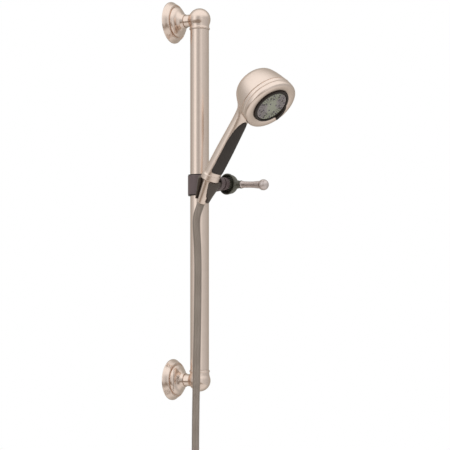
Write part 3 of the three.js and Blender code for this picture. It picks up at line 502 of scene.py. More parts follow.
def emptied(data: bpy.types.Material | bpy.types.World) -> bpy.types.NodeTree:
    """The tree of a new material or world, with nothing in it."""
    data.use_nodes = True
    data.node_tree.nodes.clear()
    return data.node_tree


def add_node(
    tree: bpy.types.NodeTree, kind: str, inputs: dict | None = None, out: int | str = 0, **settings: object
) -> Socket | None:
    """Adds a node with its settings and links.

    Args:
        tree: The node tree.
        kind: The node's type.
        inputs: For each input, by name or number, a value or the socket that feeds it.
        out: Name or number of the output that is wanted.
        **settings: The node's own properties.

    Returns:
        That output, or None where the node has none.
    """
    node = tree.nodes.new(kind)
    for key, value in settings.items():
        setattr(node, key, value)
    for key, value in (inputs or {}).items():
        if isinstance(value, bpy.types.NodeSocket):
            tree.links.new(value, node.inputs[key])
        else:
            node.inputs[key].default_value = value
    return node.outputs[out] if node.outputs else None


SOFT_STEP = {"interpolation_type": "SMOOTHSTEP"}
PATCH = 14.0  # size of the patches in which a finish drifts to its shade
ZONE_ANGLE = 40.0  # degrees round the spray face to the middle of a shaded zone
ZONE_START = (7.0, 12.0)  # distance from the face's middle over which the zones fade in
ZONE_EDGE = (-0.3, 0.35)  # cosines between which a zone fades in round the face
OUTLETS = 8
OUTLET_ANGLE = -2.0  # degrees to the first outlet
OUTLET_CIRCLE = 19.3
OUTLET_RADIUS = 1.7
OUTLET_DEPTH = 0.15  # height left at an outlet's floor, of 1
OUTLET_WALL = (0.8, 1.15)  # its sloping wall, in outlet radii
RINGS_START = 12.0  # nearer the middle there are no outlets
FLUTES = 40
FLUTES_START = (13.0, 14.0)  # distance from the middle over which they begin
FLUTE_WALL = (-0.75, -0.2)  # cosines between which a flute's wall rises
FLUTE_DEPTH = 0.45  # height left at a flute's floor, of 1
RIB_HEIGHT = "rib_height"  # the hose's own attribute, 1 on a rib and 0 in a groove
WAVE_UNIT = 0.314  # the wave texture's scale for one wave in each unit
# painted shade: the colour that the hose's grooves and the face's outlets and flutes darken to
GROOVE_SHADOW = "#382f28"


class Grain(Enum):
    """How a surface was made, which sets the pattern of its relief and gloss."""

    BRUSHED = "brushed"  # fine lines along the piece
    MOULDED = "moulded"  # spark-eroded mould texture
    SMOOTH = "smooth"  # polished, with a slight orange peel
    RIBBED = "ribbed"  # interlocked strip, with painted shade in its grooves
    WOVEN = "woven"  # flat webbing
    PIERCED = "pierced"  # a round face with fluted zones and a ring of outlets


@dataclass(frozen=True)
class Finish:
    """A finish of one real material.

    Attributes:
        name: What the material is and how it was made.
        slot: The record's material slot.
        colour: Its main colour, sRGB hex.
        shade: The colour that it drifts to in patches.
        metallic: 1 for a metal.
        roughness: Its middle roughness.
        swing: How far the roughness varies to each side.
        ior: Index of refraction, kept at the default for a metal.
        grain: How its surface was made.
        grain_mm: Size of that pattern.
        relief_mm: Depth of that pattern.
    """

    name: str
    slot: str
    colour: str
    shade: str
    metallic: float = 0.0
    roughness: float = 0.4
    swing: float = 0.05
    ior: float = 1.5
    grain: Grain = Grain.MOULDED
    grain_mm: float = 0.5
    relief_mm: float = 0.01

    def material(self, turn: Matrix | None = None) -> bpy.types.Material:
        """The finish as a material.

        Args:
            turn: The frame whose Z axis its pattern follows. The world's where none is given.

        Returns:
            A material of its own for each direction of its lines.
        """
        back = (turn or Matrix()).inverted()
        angles, origin = back.to_euler(), back.translation
        label = [round(math.degrees(a)) for a in angles] + [round(v / MM) for v in origin]
        key = self.name if turn is None else "_".join([self.name, *map(str, label)])
        if key in bpy.data.materials:
            return bpy.data.materials[key]
        made = bpy.data.materials.new(key)
        add = partial(add_node, emptied(made))
        where = add("ShaderNodeTexCoord", out="Object")
        along = add("ShaderNodeMapping", {"Vector": where, "Location": origin, "Rotation": angles})
        height = self.pattern(add, along)
        rough = {"To Min": self.roughness - self.swing, "To Max": self.roughness + self.swing}
        bump = {"Height": height, "Distance": self.relief_mm * MM, "Strength": 1.0}
        look = {
            "Base Color": self.tone(add, along, height),
            "Metallic": self.metallic,
            "Roughness": add("ShaderNodeMapRange", {"Value": height, **rough}),
            "IOR": self.ior,
            "Normal": add("ShaderNodeBump", bump),
        }
        add("ShaderNodeOutputMaterial", {"Surface": add("ShaderNodeBsdfPrincipled", look)})
        return made

    def tone(self, add: Adder, along: Socket, height: Socket) -> Socket:
        """Its colour: patches or zones of the shade colour, with painted shade in the grooves where it is ribbed
        or pierced.
        """
        if self.grain is Grain.PIERCED:
            share = self.zones(add, along)
        else:
            share = add("ShaderNodeTexNoise", {"Vector": along, "Scale": 1 / (PATCH * MM), "Detail": 2.0})
        tones = {0: share, 6: linear(self.colour), 7: linear(self.shade)}
        colour = add("ShaderNodeMix", tones, 2, data_type="RGBA")
        if self.grain not in (Grain.RIBBED, Grain.PIERCED):
            return colour
        # painted shade in the grooves, outlets and flutes, set by the relief's height
        tones = {0: height, 6: linear(GROOVE_SHADOW), 7: colour}
        return add("ShaderNodeMix", tones, 2, data_type="RGBA")

    def pattern(self, add: Adder, along: Socket) -> Socket:
        """The height of its relief, from 0 to 1, over the piece's own coordinates."""
        if self.grain is Grain.RIBBED:
            return add("ShaderNodeAttribute", out="Fac", attribute_name=RIB_HEIGHT)
        if self.grain is Grain.PIERCED:
            return self.outlets(add, along)
        if self.grain is Grain.WOVEN:  # crossed threads, one grain apart
            thread = {"Vector": along, "Scale": WAVE_UNIT / (self.grain_mm * MM)}
            ways = ("DIAGONAL", "Z")
            waves = [add("ShaderNodeTexWave", thread, "Fac", bands_direction=way) for way in ways]
            return add("ShaderNodeMath", dict(enumerate(waves)), operation="MULTIPLY")
        stretch = (1.0, 1.0, 0.03 if self.grain is Grain.BRUSHED else 1.0)
        scaled = add("ShaderNodeMapping", {"Vector": along, "Scale": stretch})
        fine = {"Vector": scaled, "Scale": 1 / (self.grain_mm * MM), "Detail": 4.0, "Roughness": 0.6}
        return add("ShaderNodeTexNoise", fine)

    @staticmethod
    def polar(add: Adder, along: Socket) -> tuple[Socket, Socket]:
        """The angle about a round face's axis, and the distance from its middle."""
        x, y, _ = add("ShaderNodeSeparateXYZ", {0: along}).node.outputs
        angle = add("ShaderNodeMath", {0: y, 1: x}, operation="ARCTAN2")
        return angle, add("ShaderNodeVectorMath", {0: along}, "Value", operation="LENGTH")

    def zones(self, add: Adder, along: Socket) -> Socket:
        """Share of the shade on a round face: two zones, one on each side of its middle."""
        angle, reach = self.polar(add, along)
        double = {0: angle, 1: 2.0, 2: -2 * math.radians(ZONE_ANGLE)}
        twice = add("ShaderNodeMath", double, operation="MULTIPLY_ADD")
        side = add("ShaderNodeMath", {0: twice}, operation="COSINE")
        edge = {"Value": side, "From Min": ZONE_EDGE[0], "From Max": ZONE_EDGE[1]}
        start = {"Value": reach, "From Min": ZONE_START[0] * MM, "From Max": ZONE_START[1] * MM}
        both = (add("ShaderNodeMapRange", span, **SOFT_STEP) for span in (edge, start))
        return add("ShaderNodeMath", dict(enumerate(both)), operation="MULTIPLY")

    def outlets(self, add: Adder, along: Socket) -> Socket:
        """Relief of a round face: sunk outlets in a ring, and short radial flutes among them."""
        angle, reach = self.polar(add, along)
        spacing = 2 * math.pi * OUTLET_CIRCLE * MM / OUTLETS
        rim = OUTLET_RADIUS * MM / spacing
        around = {0: angle, 1: OUTLETS / (2 * math.pi), 2: -OUTLETS * OUTLET_ANGLE / 360}
        kept = add("ShaderNodeMath", {0: reach, 1: RINGS_START * MM}, operation="MAXIMUM")
        away = {0: kept, 1: 1 / spacing, 2: -OUTLET_CIRCLE * MM / spacing}
        turns, off = (add("ShaderNodeMath", given, operation="MULTIPLY_ADD") for given in (around, away))
        cell = {"Vector": add("ShaderNodeCombineXYZ", {0: turns, 1: off}), "Scale": 1.0, "Randomness": 0.0}
        near = add("ShaderNodeTexVoronoi", cell, "Distance", voronoi_dimensions="2D")
        low, high = (share * rim for share in OUTLET_WALL)
        wall = {"Value": near, "From Min": low, "From Max": high, "To Min": OUTLET_DEPTH}
        holes = add("ShaderNodeMapRange", wall, **SOFT_STEP)
        spokes = add("ShaderNodeMath", {0: angle, 1: FLUTES}, operation="MULTIPLY")
        wave = add("ShaderNodeMath", {0: spokes}, operation="COSINE")
        low, high = FLUTE_WALL
        groove = {"Value": wave, "From Min": low, "From Max": high, "To Min": FLUTE_DEPTH}
        flute = add("ShaderNodeMapRange", groove, **SOFT_STEP)
        low, high = (reach_mm * MM for reach_mm in FLUTES_START)
        start = {"Value": reach, "From Min": low, "From Max": high, "To Min": 1.0, "To Max": 0.0}
        inner = add("ShaderNodeMapRange", start)
        flutes = add("ShaderNodeMath", {0: flute, 1: inner}, operation="MAXIMUM")
        return add("ShaderNodeMath", {0: holes, 1: flutes}, operation="MINIMUM")


METAL = partial(Finish, metallic=1.0)

# Nickel plate brushed along the piece: warm, soft-edged reflections drawn out across the lines.
BRUSHED_NICKEL = METAL(
    "brushed_nickel_plate", "nickel_plate", "#ead8cb", "#e2d0c3", roughness=0.24, swing=0.05,
    grain=Grain.BRUSHED, grain_mm=0.35, relief_mm=0.004,
)
# Nickel on the cast lever: greyer than the bar, and finer.
CAST_NICKEL = METAL(
    "satin_nickel_on_zinc", "nickel_plate", "#dbd0cc", "#d2c7c2", roughness=0.42, swing=0.03,
    grain=Grain.BRUSHED, grain_mm=0.3, relief_mm=0.003,
)
# Satin nickel on moulded ABS: the same warm metal, smoother, with broad quiet highlights.
PLATED_ABS = METAL(
    "satin_nickel_plated_abs", "plated_shell", "#eddccf", "#e6d5c9", roughness=0.29, swing=0.03,
    grain=Grain.BRUSHED, grain_mm=0.5, relief_mm=0.003,
)
# Bare turned stainless steel: neutral and a little duller than the nickel.
STAINLESS = METAL(
    "turned_stainless_steel", "steel", "#c9c4bc", "#bbb6ae", roughness=0.32, grain=Grain.SMOOTH,
    grain_mm=0.4, relief_mm=0.003,
)
# Turned brass, unplated where it is hidden: yellow, with machining lines.
TURNED_BRASS = METAL(
    "turned_brass", "brass", "#c9a765", "#b9954f", roughness=0.34, grain=Grain.SMOOTH, grain_mm=0.4,
    relief_mm=0.004,
)
# Glass-filled nylon of the clamp: warm purple-grey with a fine dry mould texture.
CLAMP_NYLON = Finish(
    "moulded_glass_filled_nylon", "sleeve_plastic", "#665757", "#5b4d4e", roughness=0.46, grain_mm=0.45,
    relief_mm=0.012, ior=1.53,
)
# Acetal of the cup: dark olive-brown with a soft sheen.
CUP_ACETAL = Finish(
    "moulded_acetal", "cradle_plastic", "#4d433c", "#453c35", roughness=0.4, grain_mm=0.5, relief_mm=0.01,
    ior=1.48,
)
# Semi-gloss nylon of the lever's hub: grey-green with clear highlights.
HUB_NYLON = Finish(
    "semi_gloss_nylon", "hub_plastic", "#5c5c51", "#545449", roughness=0.3, swing=0.04, grain_mm=0.8,
    relief_mm=0.006, ior=1.53,
)
# Moulded black ABS of the selector: nearly black, edges catch the light.
BLACK_ABS = Finish(
    "moulded_black_abs", "black_plastic", "#21150a", "#1b1108", roughness=0.36, grain_mm=0.4,
    relief_mm=0.008, ior=1.46,
)
# Grey-green ABS of the spray face, purple-grey in its two zones: powdery, with sunk outlets and flutes darkened by
# painted shade.
FACE_ABS = Finish(
    "moulded_grey_abs", "face_plastic", "#9c9e8e", "#928b8b", roughness=0.46, grain=Grain.PIERCED,
    grain_mm=0.4, relief_mm=0.6, ior=1.54,
)
# Natural acetal of the valve: milky white.
WHITE_ACETAL = Finish(
    "natural_acetal", "white_plastic", "#dcdad2", "#d0cec6", roughness=0.45, grain_mm=0.6, relief_mm=0.006,
    ior=1.48,
)
# Thermoplastic rubber of the grip: dark and matt, with a soft bloom.
GRIP_RUBBER = Finish(
    "moulded_grip_rubber", "grip_rubber", "#3a322d", "#2d2723", roughness=0.62, grain_mm=0.35,
    relief_mm=0.02, ior=1.5,
)
# Silicone of the nozzles: purple-grey, slightly waxy.
NOZZLE_SILICONE = Finish(
    "moulded_silicone", "nozzle_rubber", "#7b7480", "#716a75", roughness=0.55, grain_mm=0.4, relief_mm=0.008,
    ior=1.41,
)
# Moulded EPDM of the seals and washers: flat black.
SEAL_EPDM = Finish(
    "moulded_epdm_rubber", "seal_rubber", "#1e1d1c", "#171615", roughness=0.7, grain_mm=0.3, relief_mm=0.01,
    ior=1.5,
)
# Interlocked stainless strip of the hose: bright ribs with painted shade in the grooves between them.
HOSE_STRIP = METAL(
    "interlocked_stainless_strip", "hose_metal", "#d2c5b9", "#c5b8ac", roughness=0.3, grain=Grain.RIBBED,
    grain_mm=1.7, relief_mm=0.0,
)
# Woven nylon strap of the tie: matt charcoal with a visible weave.
WOVEN_STRAP = Finish(
    "woven_nylon_strap", "strap", "#333336", "#29292b", roughness=0.85, grain=Grain.WOVEN, grain_mm=0.9,
    relief_mm=0.12, ior=1.53,
)

FINISHES = [
    BRUSHED_NICKEL, PLATED_ABS, STAINLESS, TURNED_BRASS, CLAMP_NYLON, CUP_ACETAL, HUB_NYLON, BLACK_ABS,
    FACE_ABS, WHITE_ACETAL, GRIP_RUBBER, NOZZLE_SILICONE, SEAL_EPDM, HOSE_STRIP, WOVEN_STRAP,
]


def dress(
    piece: bpy.types.Object,
    body: str,
    finish: Finish,
    stands_for: Iterable[str] = (),
    lines: Matrix | None = None,
) -> bpy.types.Object:
    """Gives a piece its finish and its body.

    Args:
        piece: The piece, with its place in its mesh.
        body: The body that it moves with.
        finish: Its finish.
        stands_for: The nodes of the frame that it replaces.
        lines: The frame whose Z axis brushed lines follow.

    Returns:
        The piece.
    """
    piece.data.materials.clear()
    piece.data.materials.append(finish.material(lines))
    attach(piece, body)
    if stands_for:
        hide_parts(*stands_for)
    log.info("%s: %d faces on %s", piece.name, len(piece.data.polygons), body)
    return piece


# ---------------------------------------------------------------- bar and brackets


@dataclass
class SlideBar:
    """The bar with its two end brackets, all fixed to the wall."""

    span: float = 24 * INCH
    radius: float = 0.625 * INCH
    wall: float = 1.5
    out: float = 38.1 + 0.625 * INCH
    ball_radius: float = 18.5
    collar_end: float = 17.8
    spigot: float = 14.0
    neck_radius: float = 10.4
    neck_start: float = 7.0
    stud_radius: float = 6.8
    stud_end: float = 36.3
    screw_out: float = 31.0
    screw_radius: float = 2.7
    rosette_radius: float = 35.0
    rosette_depth: float = 27.0

    def rosette(self, name: str, foot: Matrix) -> bpy.types.Object:
        """The stepped, trumpet-shaped cover over the wall plate."""
        r, bore = self.rosette_radius, self.neck_radius + GAP
        bead = flowing([
            (r - 0.9, 3.4), (r - 2.4, 5.6), (r - 4.2, 8.6), (r - 5.6, 10.3), (r - 6.6, 10.4), (r - 7.4, 9.0),
        ])
        cone = flowing([(r - 9.0, 9.2), (r - 9.5, 12.6), (r - 12.2, 15.8), (17.4, 18.4), (13.4, 22)])
        profile = [(r, 0.3), (r, 2.2), *bead, *cone, (bore + 1.1, self.rosette_depth)]
        profile += [(bore, self.rosette_depth), (bore, 20.5), (20.4, 13.8), (r - 6.4, 6.4), (r - 2.4, 2.4)]
        return turned(name, [*profile, (r - 2.4, 0.3)], foot @ about("X", 90), 128, 0.6)

    def post_field(self, x: Array, y: Array, z: Array, way: int) -> Array:
        """The bracket: neck, ball and collar run into each other with small fillets.

        Args:
            x: Points along X.
            y: Points along Y.
            z: Points along Z.
            way: 1 where the collar points up, -1 where it points down.

        Returns:
            Signed distance to the casting.
        """
        neck = pin(x, z, y, self.neck_radius, -self.out, -self.neck_start)
        dy = y + self.out
        ball = np.sqrt(x * x + dy * dy + z * z) - self.ball_radius
        r, end, inner = self.radius, self.collar_end, self.radius - self.wall - GAP
        collar = eased([
            (0, 0), (r + 0.5, 0), (r + 0.5, end - 4), (r + 1.4, end - 2.8), (r + 1.4, end - 1.2),
            (r + 0.6, end), (inner, end), (inner, end + self.spigot), (0, end + self.spigot),
        ], 0.5)
        body = fuse(neck, fuse(ball, turned_distance(x, dy, way * z, collar), 1.6), 2.4)
        stud = pin(x, z, y, self.stud_radius, -self.stud_end, 0)
        grub = pin(x, y + self.screw_out, z, self.screw_radius, -20, 0)
        return cut(cut(body, stud, 0.3), grub, 0.5)

    def build(self) -> None:
        """Makes and dresses the bar and both brackets."""
        axis = shift(0, -self.out, 0)
        ends = [("lower", Matrix(), 1), ("upper", shift(0, 0, self.span), -1)]
        for where, foot, way in ends:
            cover = self.rosette(f"{where}_rosette_cover", foot)
            dress(cover, "wall_bar", BRUSHED_NICKEL, [f"{where}_rosette"], about("X", 90))
            low, high = sorted((-19 * way, 33 * way))
            field = partial(self.post_field, way=way)
            post = carved(f"{where}_bracket", field, (-19, -74, low), (19, -7, high), 0.7, foot)
            dress(post, "wall_bar", BRUSHED_NICKEL, [f"{where}_post"])
        end = self.collar_end + GAP
        tube = ring_section(self.radius - self.wall, self.radius, end, self.span - end)
        dress(turned("brushed_bar", tube, axis, 128, 0.3), "wall_bar", BRUSHED_NICKEL, ["bar_tube"])


# ---------------------------------------------------------------- slider


@dataclass
class Slider:
    """The clamp that slides on the bar, its liner, and the stud and washers of its pivot."""

    sleeve_radius: float = 19.75
    half: float = 16.5
    bush_radius: float = 17.6
    bush_inner: float = 0.625 * INCH + GAP
    flange: float = 1.0
    split: float = 2.6
    ear_half: float = 10.0
    ear_radius: float = 10.5
    pivot_out: float = 50.0
    pivot_radius: float = 4.0
    washer_radius: float = 9.6
    washer: float = 1.2
    stud_head: float = 14.2
    stud_head_radius: float = 6.3
    insert_end: float = 24.0

    def side(self) -> list:
        """Side view of the ears, in (y, z), from the sleeve out to their round ends."""
        upper = [(-8.0, 13.5), *bent((-8, 13.5), (-30, 12.5), (3 - self.pivot_out, self.ear_radius - 0.4))]
        lower = [(y, -z) for y, z in reversed(upper)]
        return upper + arc((-self.pivot_out, 0), self.ear_radius, 74, 286, 24) + lower

    def clamp_field(self, x: Array, y: Array, z: Array) -> Array:
        """The clamp in the slider's frame."""
        outline = eased(ring_section(0, self.sleeve_radius, -self.half, self.half), 1.4)
        sleeve = turned_distance(x, y, z, outline)
        ears = common(outline_distance(y, z, self.side()), np.abs(x) - self.ear_half, 2.0)
        body = fuse(sleeve, ears, 3.2)
        body = cut(body, np.hypot(x, y) - self.bush_radius - GAP, 0.6)
        body = cut(body, np.maximum(np.abs(x) - self.split / 2, slab(y, -90, -10)), 0.6)
        return cut(body, np.hypot(y + self.pivot_out, z) - self.pivot_radius - GAP, 0.5)

    def build(self) -> None:
        """Makes and dresses the clamp and what is on it."""
        clamp = carved("clamp", self.clamp_field, (-20, -61, -17), (20, 20, 17), 0.6, SLIDER)
        dress(clamp, "slider", CLAMP_NYLON, ["clamp_body"])
        lip, edge = self.half + GAP + self.flange, self.half + GAP
        rim = self.sleeve_radius - 0.4
        ring = [(self.bush_inner, -lip), (rim, -lip), (rim, -edge), (self.bush_radius, -edge)]
        ring += [(self.bush_radius, edge), (rim, edge), (rim, lip), (self.bush_inner, lip)]
        dress(turned("bar_liner", ring, SLIDER, 96, 0.3), "slider_carriage", BLACK_ABS, ["slider_bush"])
        axis = PIVOT @ about("Y", 90)
        head = self.stud_head + 1.9
        stud = [(0, -head), (5.6, -head), (self.stud_head_radius, 0.7 - head)]
        stud += [(self.stud_head_radius, -self.stud_head), (self.pivot_radius, -self.stud_head)]
        stud += [(self.pivot_radius, self.insert_end - 0.8), (self.pivot_radius - 0.8, self.insert_end)]
        stud += [(0, self.insert_end)]
        dress(turned("pivot_pin", stud, axis, 64, 0.3), "slider", STAINLESS, ["pivot_stud"])
        start, end = self.ear_half + GAP, self.ear_half + GAP + self.washer
        sides = (("thrust_washer", start, end, STAINLESS), ("friction_washer", -end, -start, BLACK_ABS))
        for name, low, high, finish in sides:
            disc = ring_section(self.pivot_radius + GAP, self.washer_radius, low, high)
            dress(turned(f"{name}_disc", disc, axis, 72, 0.2), "slider", finish, [name])


# ---------------------------------------------------------------- clamp lever


@dataclass
class ClampLever:
    """The lever that squeezes the clamp: a bell-shaped hub and a plated handle with a ball."""

    x: float = 21.0
    drop: float = 4.0
    length: float = 82.0
    ball_radius: float = 9.0
    rod_radius: float = 5.4
    collar: float = 26.0
    boss_face: float = 11.8
    insert_end: float = 24.0
    socket_radius: float = 3.3
    socket_start: float = 17.4

    def bell(self) -> list:
        """Profile of the hub about the pivot: a flared rim, a waist and a domed top."""
        b = self.boss_face
        dome = flowing([(16.6, b + 3.8), (16.2, 19.4), (15.8, 22.6), (13.6, 26.4), (8.4, 29.8), (0, 31.2)])
        return eased([
            (0, self.insert_end + 0.6), (6.5, self.insert_end + 0.6), (6.5, b), (9, b), (9, 21), (13.6, 20.4),
            (15.4, b + 0.8), (16.4, b), (17.7, b + 0.8), (17.7, b + 2.8), *dome,
        ], 0.5)

    def hub_field(self, x: Array, y: Array, z: Array) -> Array:
        """The hub in the pivot's frame: its bell points along X and its collar along the lever."""
        bell = turned_distance(y, z, x, self.bell())
        u, v, w = moved(self.arm(), x, y, z)
        c = self.collar
        neck = eased([(0, 14.6), (7.4, 14.6), (6.3, 21), (6.3, 23), (6.8, c - 1.4), (6.6, c), (0, c)], 0.5)
        body = fuse(bell, turned_distance(u, v, w, neck), 1.6)
        return cut(body, pin(u, v, w, self.socket_radius, self.socket_start, 40), 0.4)

    def arm(self) -> Matrix:
        """The lever's frame in the pivot's: Z runs out along the handle."""
        return shift(self.x, 0, 0) @ about("X", 90 + self.drop)

    def build(self) -> None:
        """Makes and dresses the hub and the handle."""
        hub = carved("lever_bell", self.hub_field, (11, -28, -19), (32, 19, 19), 0.5, PIVOT)
        dress(hub, "lever", HUB_NYLON, ["lever_hub"])
        start, centre = self.collar + GAP, self.length - self.ball_radius
        r = self.rod_radius
        neck = flowing([(r, start + 3.4), (r - 0.1, start + 24), (r + 0.6, start + 33)])
        ball = arc((0, centre), self.ball_radius, -46, 90, 20)
        profile = [(0, 17.8), (3, 17.8), (3, start), (6.2, start), (6.2, start + 1.6), *neck, *ball[:-1]]
        rod = turned("lever_rod", [*profile, (0, centre + self.ball_radius)], PIVOT @ self.arm(), 80, 0.5)
        dress(rod, "lever", CAST_NICKEL, ["lever_handle"], PIVOT @ self.arm())


# ---------------------------------------------------------------- cradle


@dataclass
class Cradle:
    """The tilting cup that holds the hose nut, slotted on its outer side for the hose."""

    depth: float = 37.0
    slot: float = 20.0
    slot_off: float = -2.7  # from the hose to the slot's middle
    seat: float = 0.5
    boss_radius: float = 10.5
    boss_face: float = 11.8
    cup_x: float = -32.0
    head_seat_radius: float = 6.6
    head_seat: float = 14.2
    pin_radius: float = 4.3

    def cone(self, z: float) -> float:
        """Radius of the bore at a height."""
        return NUT_TOP + (NUT_TIP_RADIUS - NUT_TOP) * (-0.6 - z) / (NUT_LENGTH - 0.6) + self.seat

    def field(self, x: Array, y: Array, z: Array) -> Array:
        """The cup in its own frame, with the boss that it tilts on."""
        wall = flowing([(19.5, -0.9), (19.2, -5), (17.4, -13), (14, -27), (12.2, 0.8 - self.depth)])
        profile = eased([(0, 0), (18.7, 0), *wall, (11.4, -self.depth), (0, -self.depth)], 0.5)
        cup = turned_distance(x, y, z, profile)
        py, pz = self.pivot()
        flat = -self.boss_face - self.cup_x
        boss = common(np.hypot(y - py, z - pz) - self.boss_radius, slab(x, 4, flat), 0.8)
        boss = np.maximum(boss, z)
        body = fuse(cup, boss, 2.6)
        bore = turned_distance(x, y, z, [(0, 2), (self.cone(2), 2), (self.cone(-45), -45), (0, -45)])
        body = cut(body, bore, 0.5)
        body = cut(body, np.maximum(np.abs(y - self.slot_off) - self.slot / 2, x), 1.0)
        seat = pin(y - py, z - pz, x, self.head_seat_radius, 0, GAP - self.head_seat - self.cup_x)
        hole = pin(y - py, z - pz, x, self.pin_radius, 0, 40)
        return cut(cut(body, seat, 0.3), hole, 0.3)

    def pivot(self) -> tuple[float, float]:
        """The pivot's axis in the cup's frame, as (y, z)."""
        local = CUP.inverted() @ PIVOT.translation
        return local.y / MM, local.z / MM

    def build(self) -> None:
        """Makes and dresses the cup."""
        cup = carved("cradle_cone", self.field, (-20, -20, -38), (21, 20, 1), 0.6, CUP)
        dress(cup, "cradle", CUP_ACETAL, ["cradle_cup"])


# ---------------------------------------------------------------- handset


@dataclass
class Handset:
    """The plated body: a handle that swells into a deep, tapered drum, with a rubber grip."""

    handle: tuple = (
        (0.4, 0.0, 15.5, 15.5), (10.0, 0.4, 15.5, 15.5), (11.2, 0.8, 14.5, 14.5), (12.6, 1.3, 14.3, 14.3),
        (30.0, 4.4, 14.4, 14.3), (60.0, 9.5, 14.2, 13.9), (90.0, 14.5, 13.6, 12.9),
        (112.0, 18.2, 13.4, 12.2), (126.0, 20.5, 14.4, 12.2), (138.0, 22.4, 17.2, 13.0),
        (150.0, 24.4, 20.5, 13.6), (162.0, 26.4, 22.0, 13.6),
    )  # height, lean outwards, half width and half thickness
    collar_top: float = 10.0
    waterway: float = 7.5
    inlet_radius: float = 11.3
    inlet_depth: float = 10.6
    fillet: float = 9.0
    band_edge: float = -17.2  # depth where the drum's front band begins
    front_radius: float = 60.0
    band_bore: float = 41.0
    pad_proud: float = 0.5
    pad_depth: float = 2.4

    def __post_init__(self) -> None:
        """Draws the handle's middle line and half sizes as smooth curves of the height."""
        knots = np.array(self.handle)
        curved = np.array(flowing(knots[3:], 6))
        self.heights, self.outs, self.wides, self.thicks = np.vstack([knots[:3], curved]).T
        lean = np.arctan2(np.gradient(self.outs, self.heights), 1)
        self.leans = np.where(self.heights <= self.collar_top, 0, lean)

    def section(self, y: Array, z: Array) -> tuple[Array, Array]:
        """The height of each point's section of the handle, and its offset across it."""
        up = np.clip(z, self.heights[0], self.heights[-1])
        for _ in range(4):
            out, lean = np.interp(up, self.heights, self.outs), np.interp(up, self.heights, self.leans)
            along = -(y + out) * np.sin(lean) + (z - up) * np.cos(lean)
            up = np.clip(up + along * np.cos(lean), self.heights[0], self.heights[-1])
        out, lean = np.interp(up, self.heights, self.outs), np.interp(up, self.heights, self.leans)
        return up, -(y + out) * np.cos(lean) - (z - up) * np.sin(lean)

    def skin(self, x: Array, y: Array, z: Array) -> Array:
        """Signed distance to the handle's skin, by the first-order estimate for an ellipse."""
        up, across = self.section(y, z)
        wide, thick = np.interp(up, self.heights, self.wides), np.interp(up, self.heights, self.thicks)
        k = np.sqrt((x / wide) ** 2 + (across / thick) ** 2)
        g = np.sqrt((x / wide**2) ** 2 + (across / thick**2) ** 2)
        return np.where(g > 1e-6, k * (k - 1) / np.maximum(g, 1e-6), -thick)

    def grip_outline(self, clearance: float) -> list:
        """Side view of the grip in (y, z): round below and in a point above."""
        low, top = 16.6 - clearance, 113 + clearance

        def edge(up: float) -> float:  # it leans with the handle
            return -(0.1 + 0.166 * up) - 5.4 + clearance

        points = [(-40, low + 1), (-12, low)]
        points += bent((-12, low), (edge(low) + 0.6, low), (edge(low), low + 5), (edge(30), 30), steps=12)
        points += [(edge(78), 78), *bent((edge(78), 78), (edge(98) - 1, 98), (-30.5, top))]
        return [*points, (-60, top)]

    def shell_field(self, x: Array, y: Array, z: Array) -> Array:
        """The plated shell behind its front band, hollow for the water."""
        skin = self.skin(x, y, z)
        handle = common(skin, slab(z, 0.4, 160), 1.0)
        u, v, w = moved(HEAD_IN_CUP, x, y, z)
        back = [(44.1, -17.2), (41.4, -30), (38, -42), (34.4, -50.4), (28.5, -56.2), (18, -60), (0, -61)]
        drum = turned_distance(u, v, w, [(0, self.band_edge), *flowing(back)])
        body = fuse(handle, drum, self.fillet)
        body = np.maximum(body, -np.maximum(np.hypot(u, v) - self.front_radius, self.band_edge - w))
        recess = np.maximum(outline_distance(y, z, self.grip_outline(GAP)), -(skin + self.pad_depth + GAP))
        body = cut(body, recess, 0.4)
        room = [(0, 0), (41, 0), (41, -23.3), (34.5, -23.3), (34.5, -38), (30, -49), (0, -56)]
        chamber = turned_distance(u, v, w, room)
        tube = pin(x, self.section(y, z)[1], z, self.waterway, 6, 146)
        inlet = np.maximum(np.hypot(x, y) - self.inlet_radius, z - self.inlet_depth)
        return np.maximum(body, -np.minimum(chamber, np.minimum(tube, inlet)))

    def pad_field(self, x: Array, y: Array, z: Array) -> Array:
        """The rubber pad, a little proud of the handle and round at its edges."""
        skin = self.skin(x, y, z)
        layer = np.maximum(skin - self.pad_proud, -(skin + self.pad_depth))
        return common(layer, outline_distance(y, z, self.grip_outline(0)), 1.4)

    def build(self) -> None:
        """Makes and dresses the body, its grip and the nut below it."""
        body = carved("handset_rear", self.shell_field, (-46, -108, 0), (46, 17, 216), 0.95, CUP)
        band = [(self.band_bore, -17.5), (43.0, -17.5), (42.7, -16.8), (43.0, -15.9), (44.8, -15.2)]
        band += [(44.8, -10.3), (44.0, -9.5), (self.band_bore, -9.3)]
        whole = joined("handset_body", [body, turned("handset_front_band", band, HEAD, 160, 0.2)])
        dress(whole, "handset", PLATED_ABS, ["handset_shell"], CUP)
        pad = carved("handset_grip", self.pad_field, (-15, -36, 16), (15, 0, 114), 0.7, CUP)
        dress(pad, "handset", GRIP_RUBBER, ["grip_pad"])
        t, low, tip = NUT_TOP, NUT_TIP_RADIUS, -NUT_LENGTH
        nut = [(10.2, -0.6), (t - 0.5, -0.6), (t, -1.2), (low, tip + 1), (low - 0.7, tip)]
        nut += [(5.8, tip), (5.8, -17.6), (10.2, -17.2)]
        dress(turned("hose_cone_nut", nut, CUP, 96, 0.4), "handset", BRUSHED_NICKEL, ["cone_nut"], CUP)


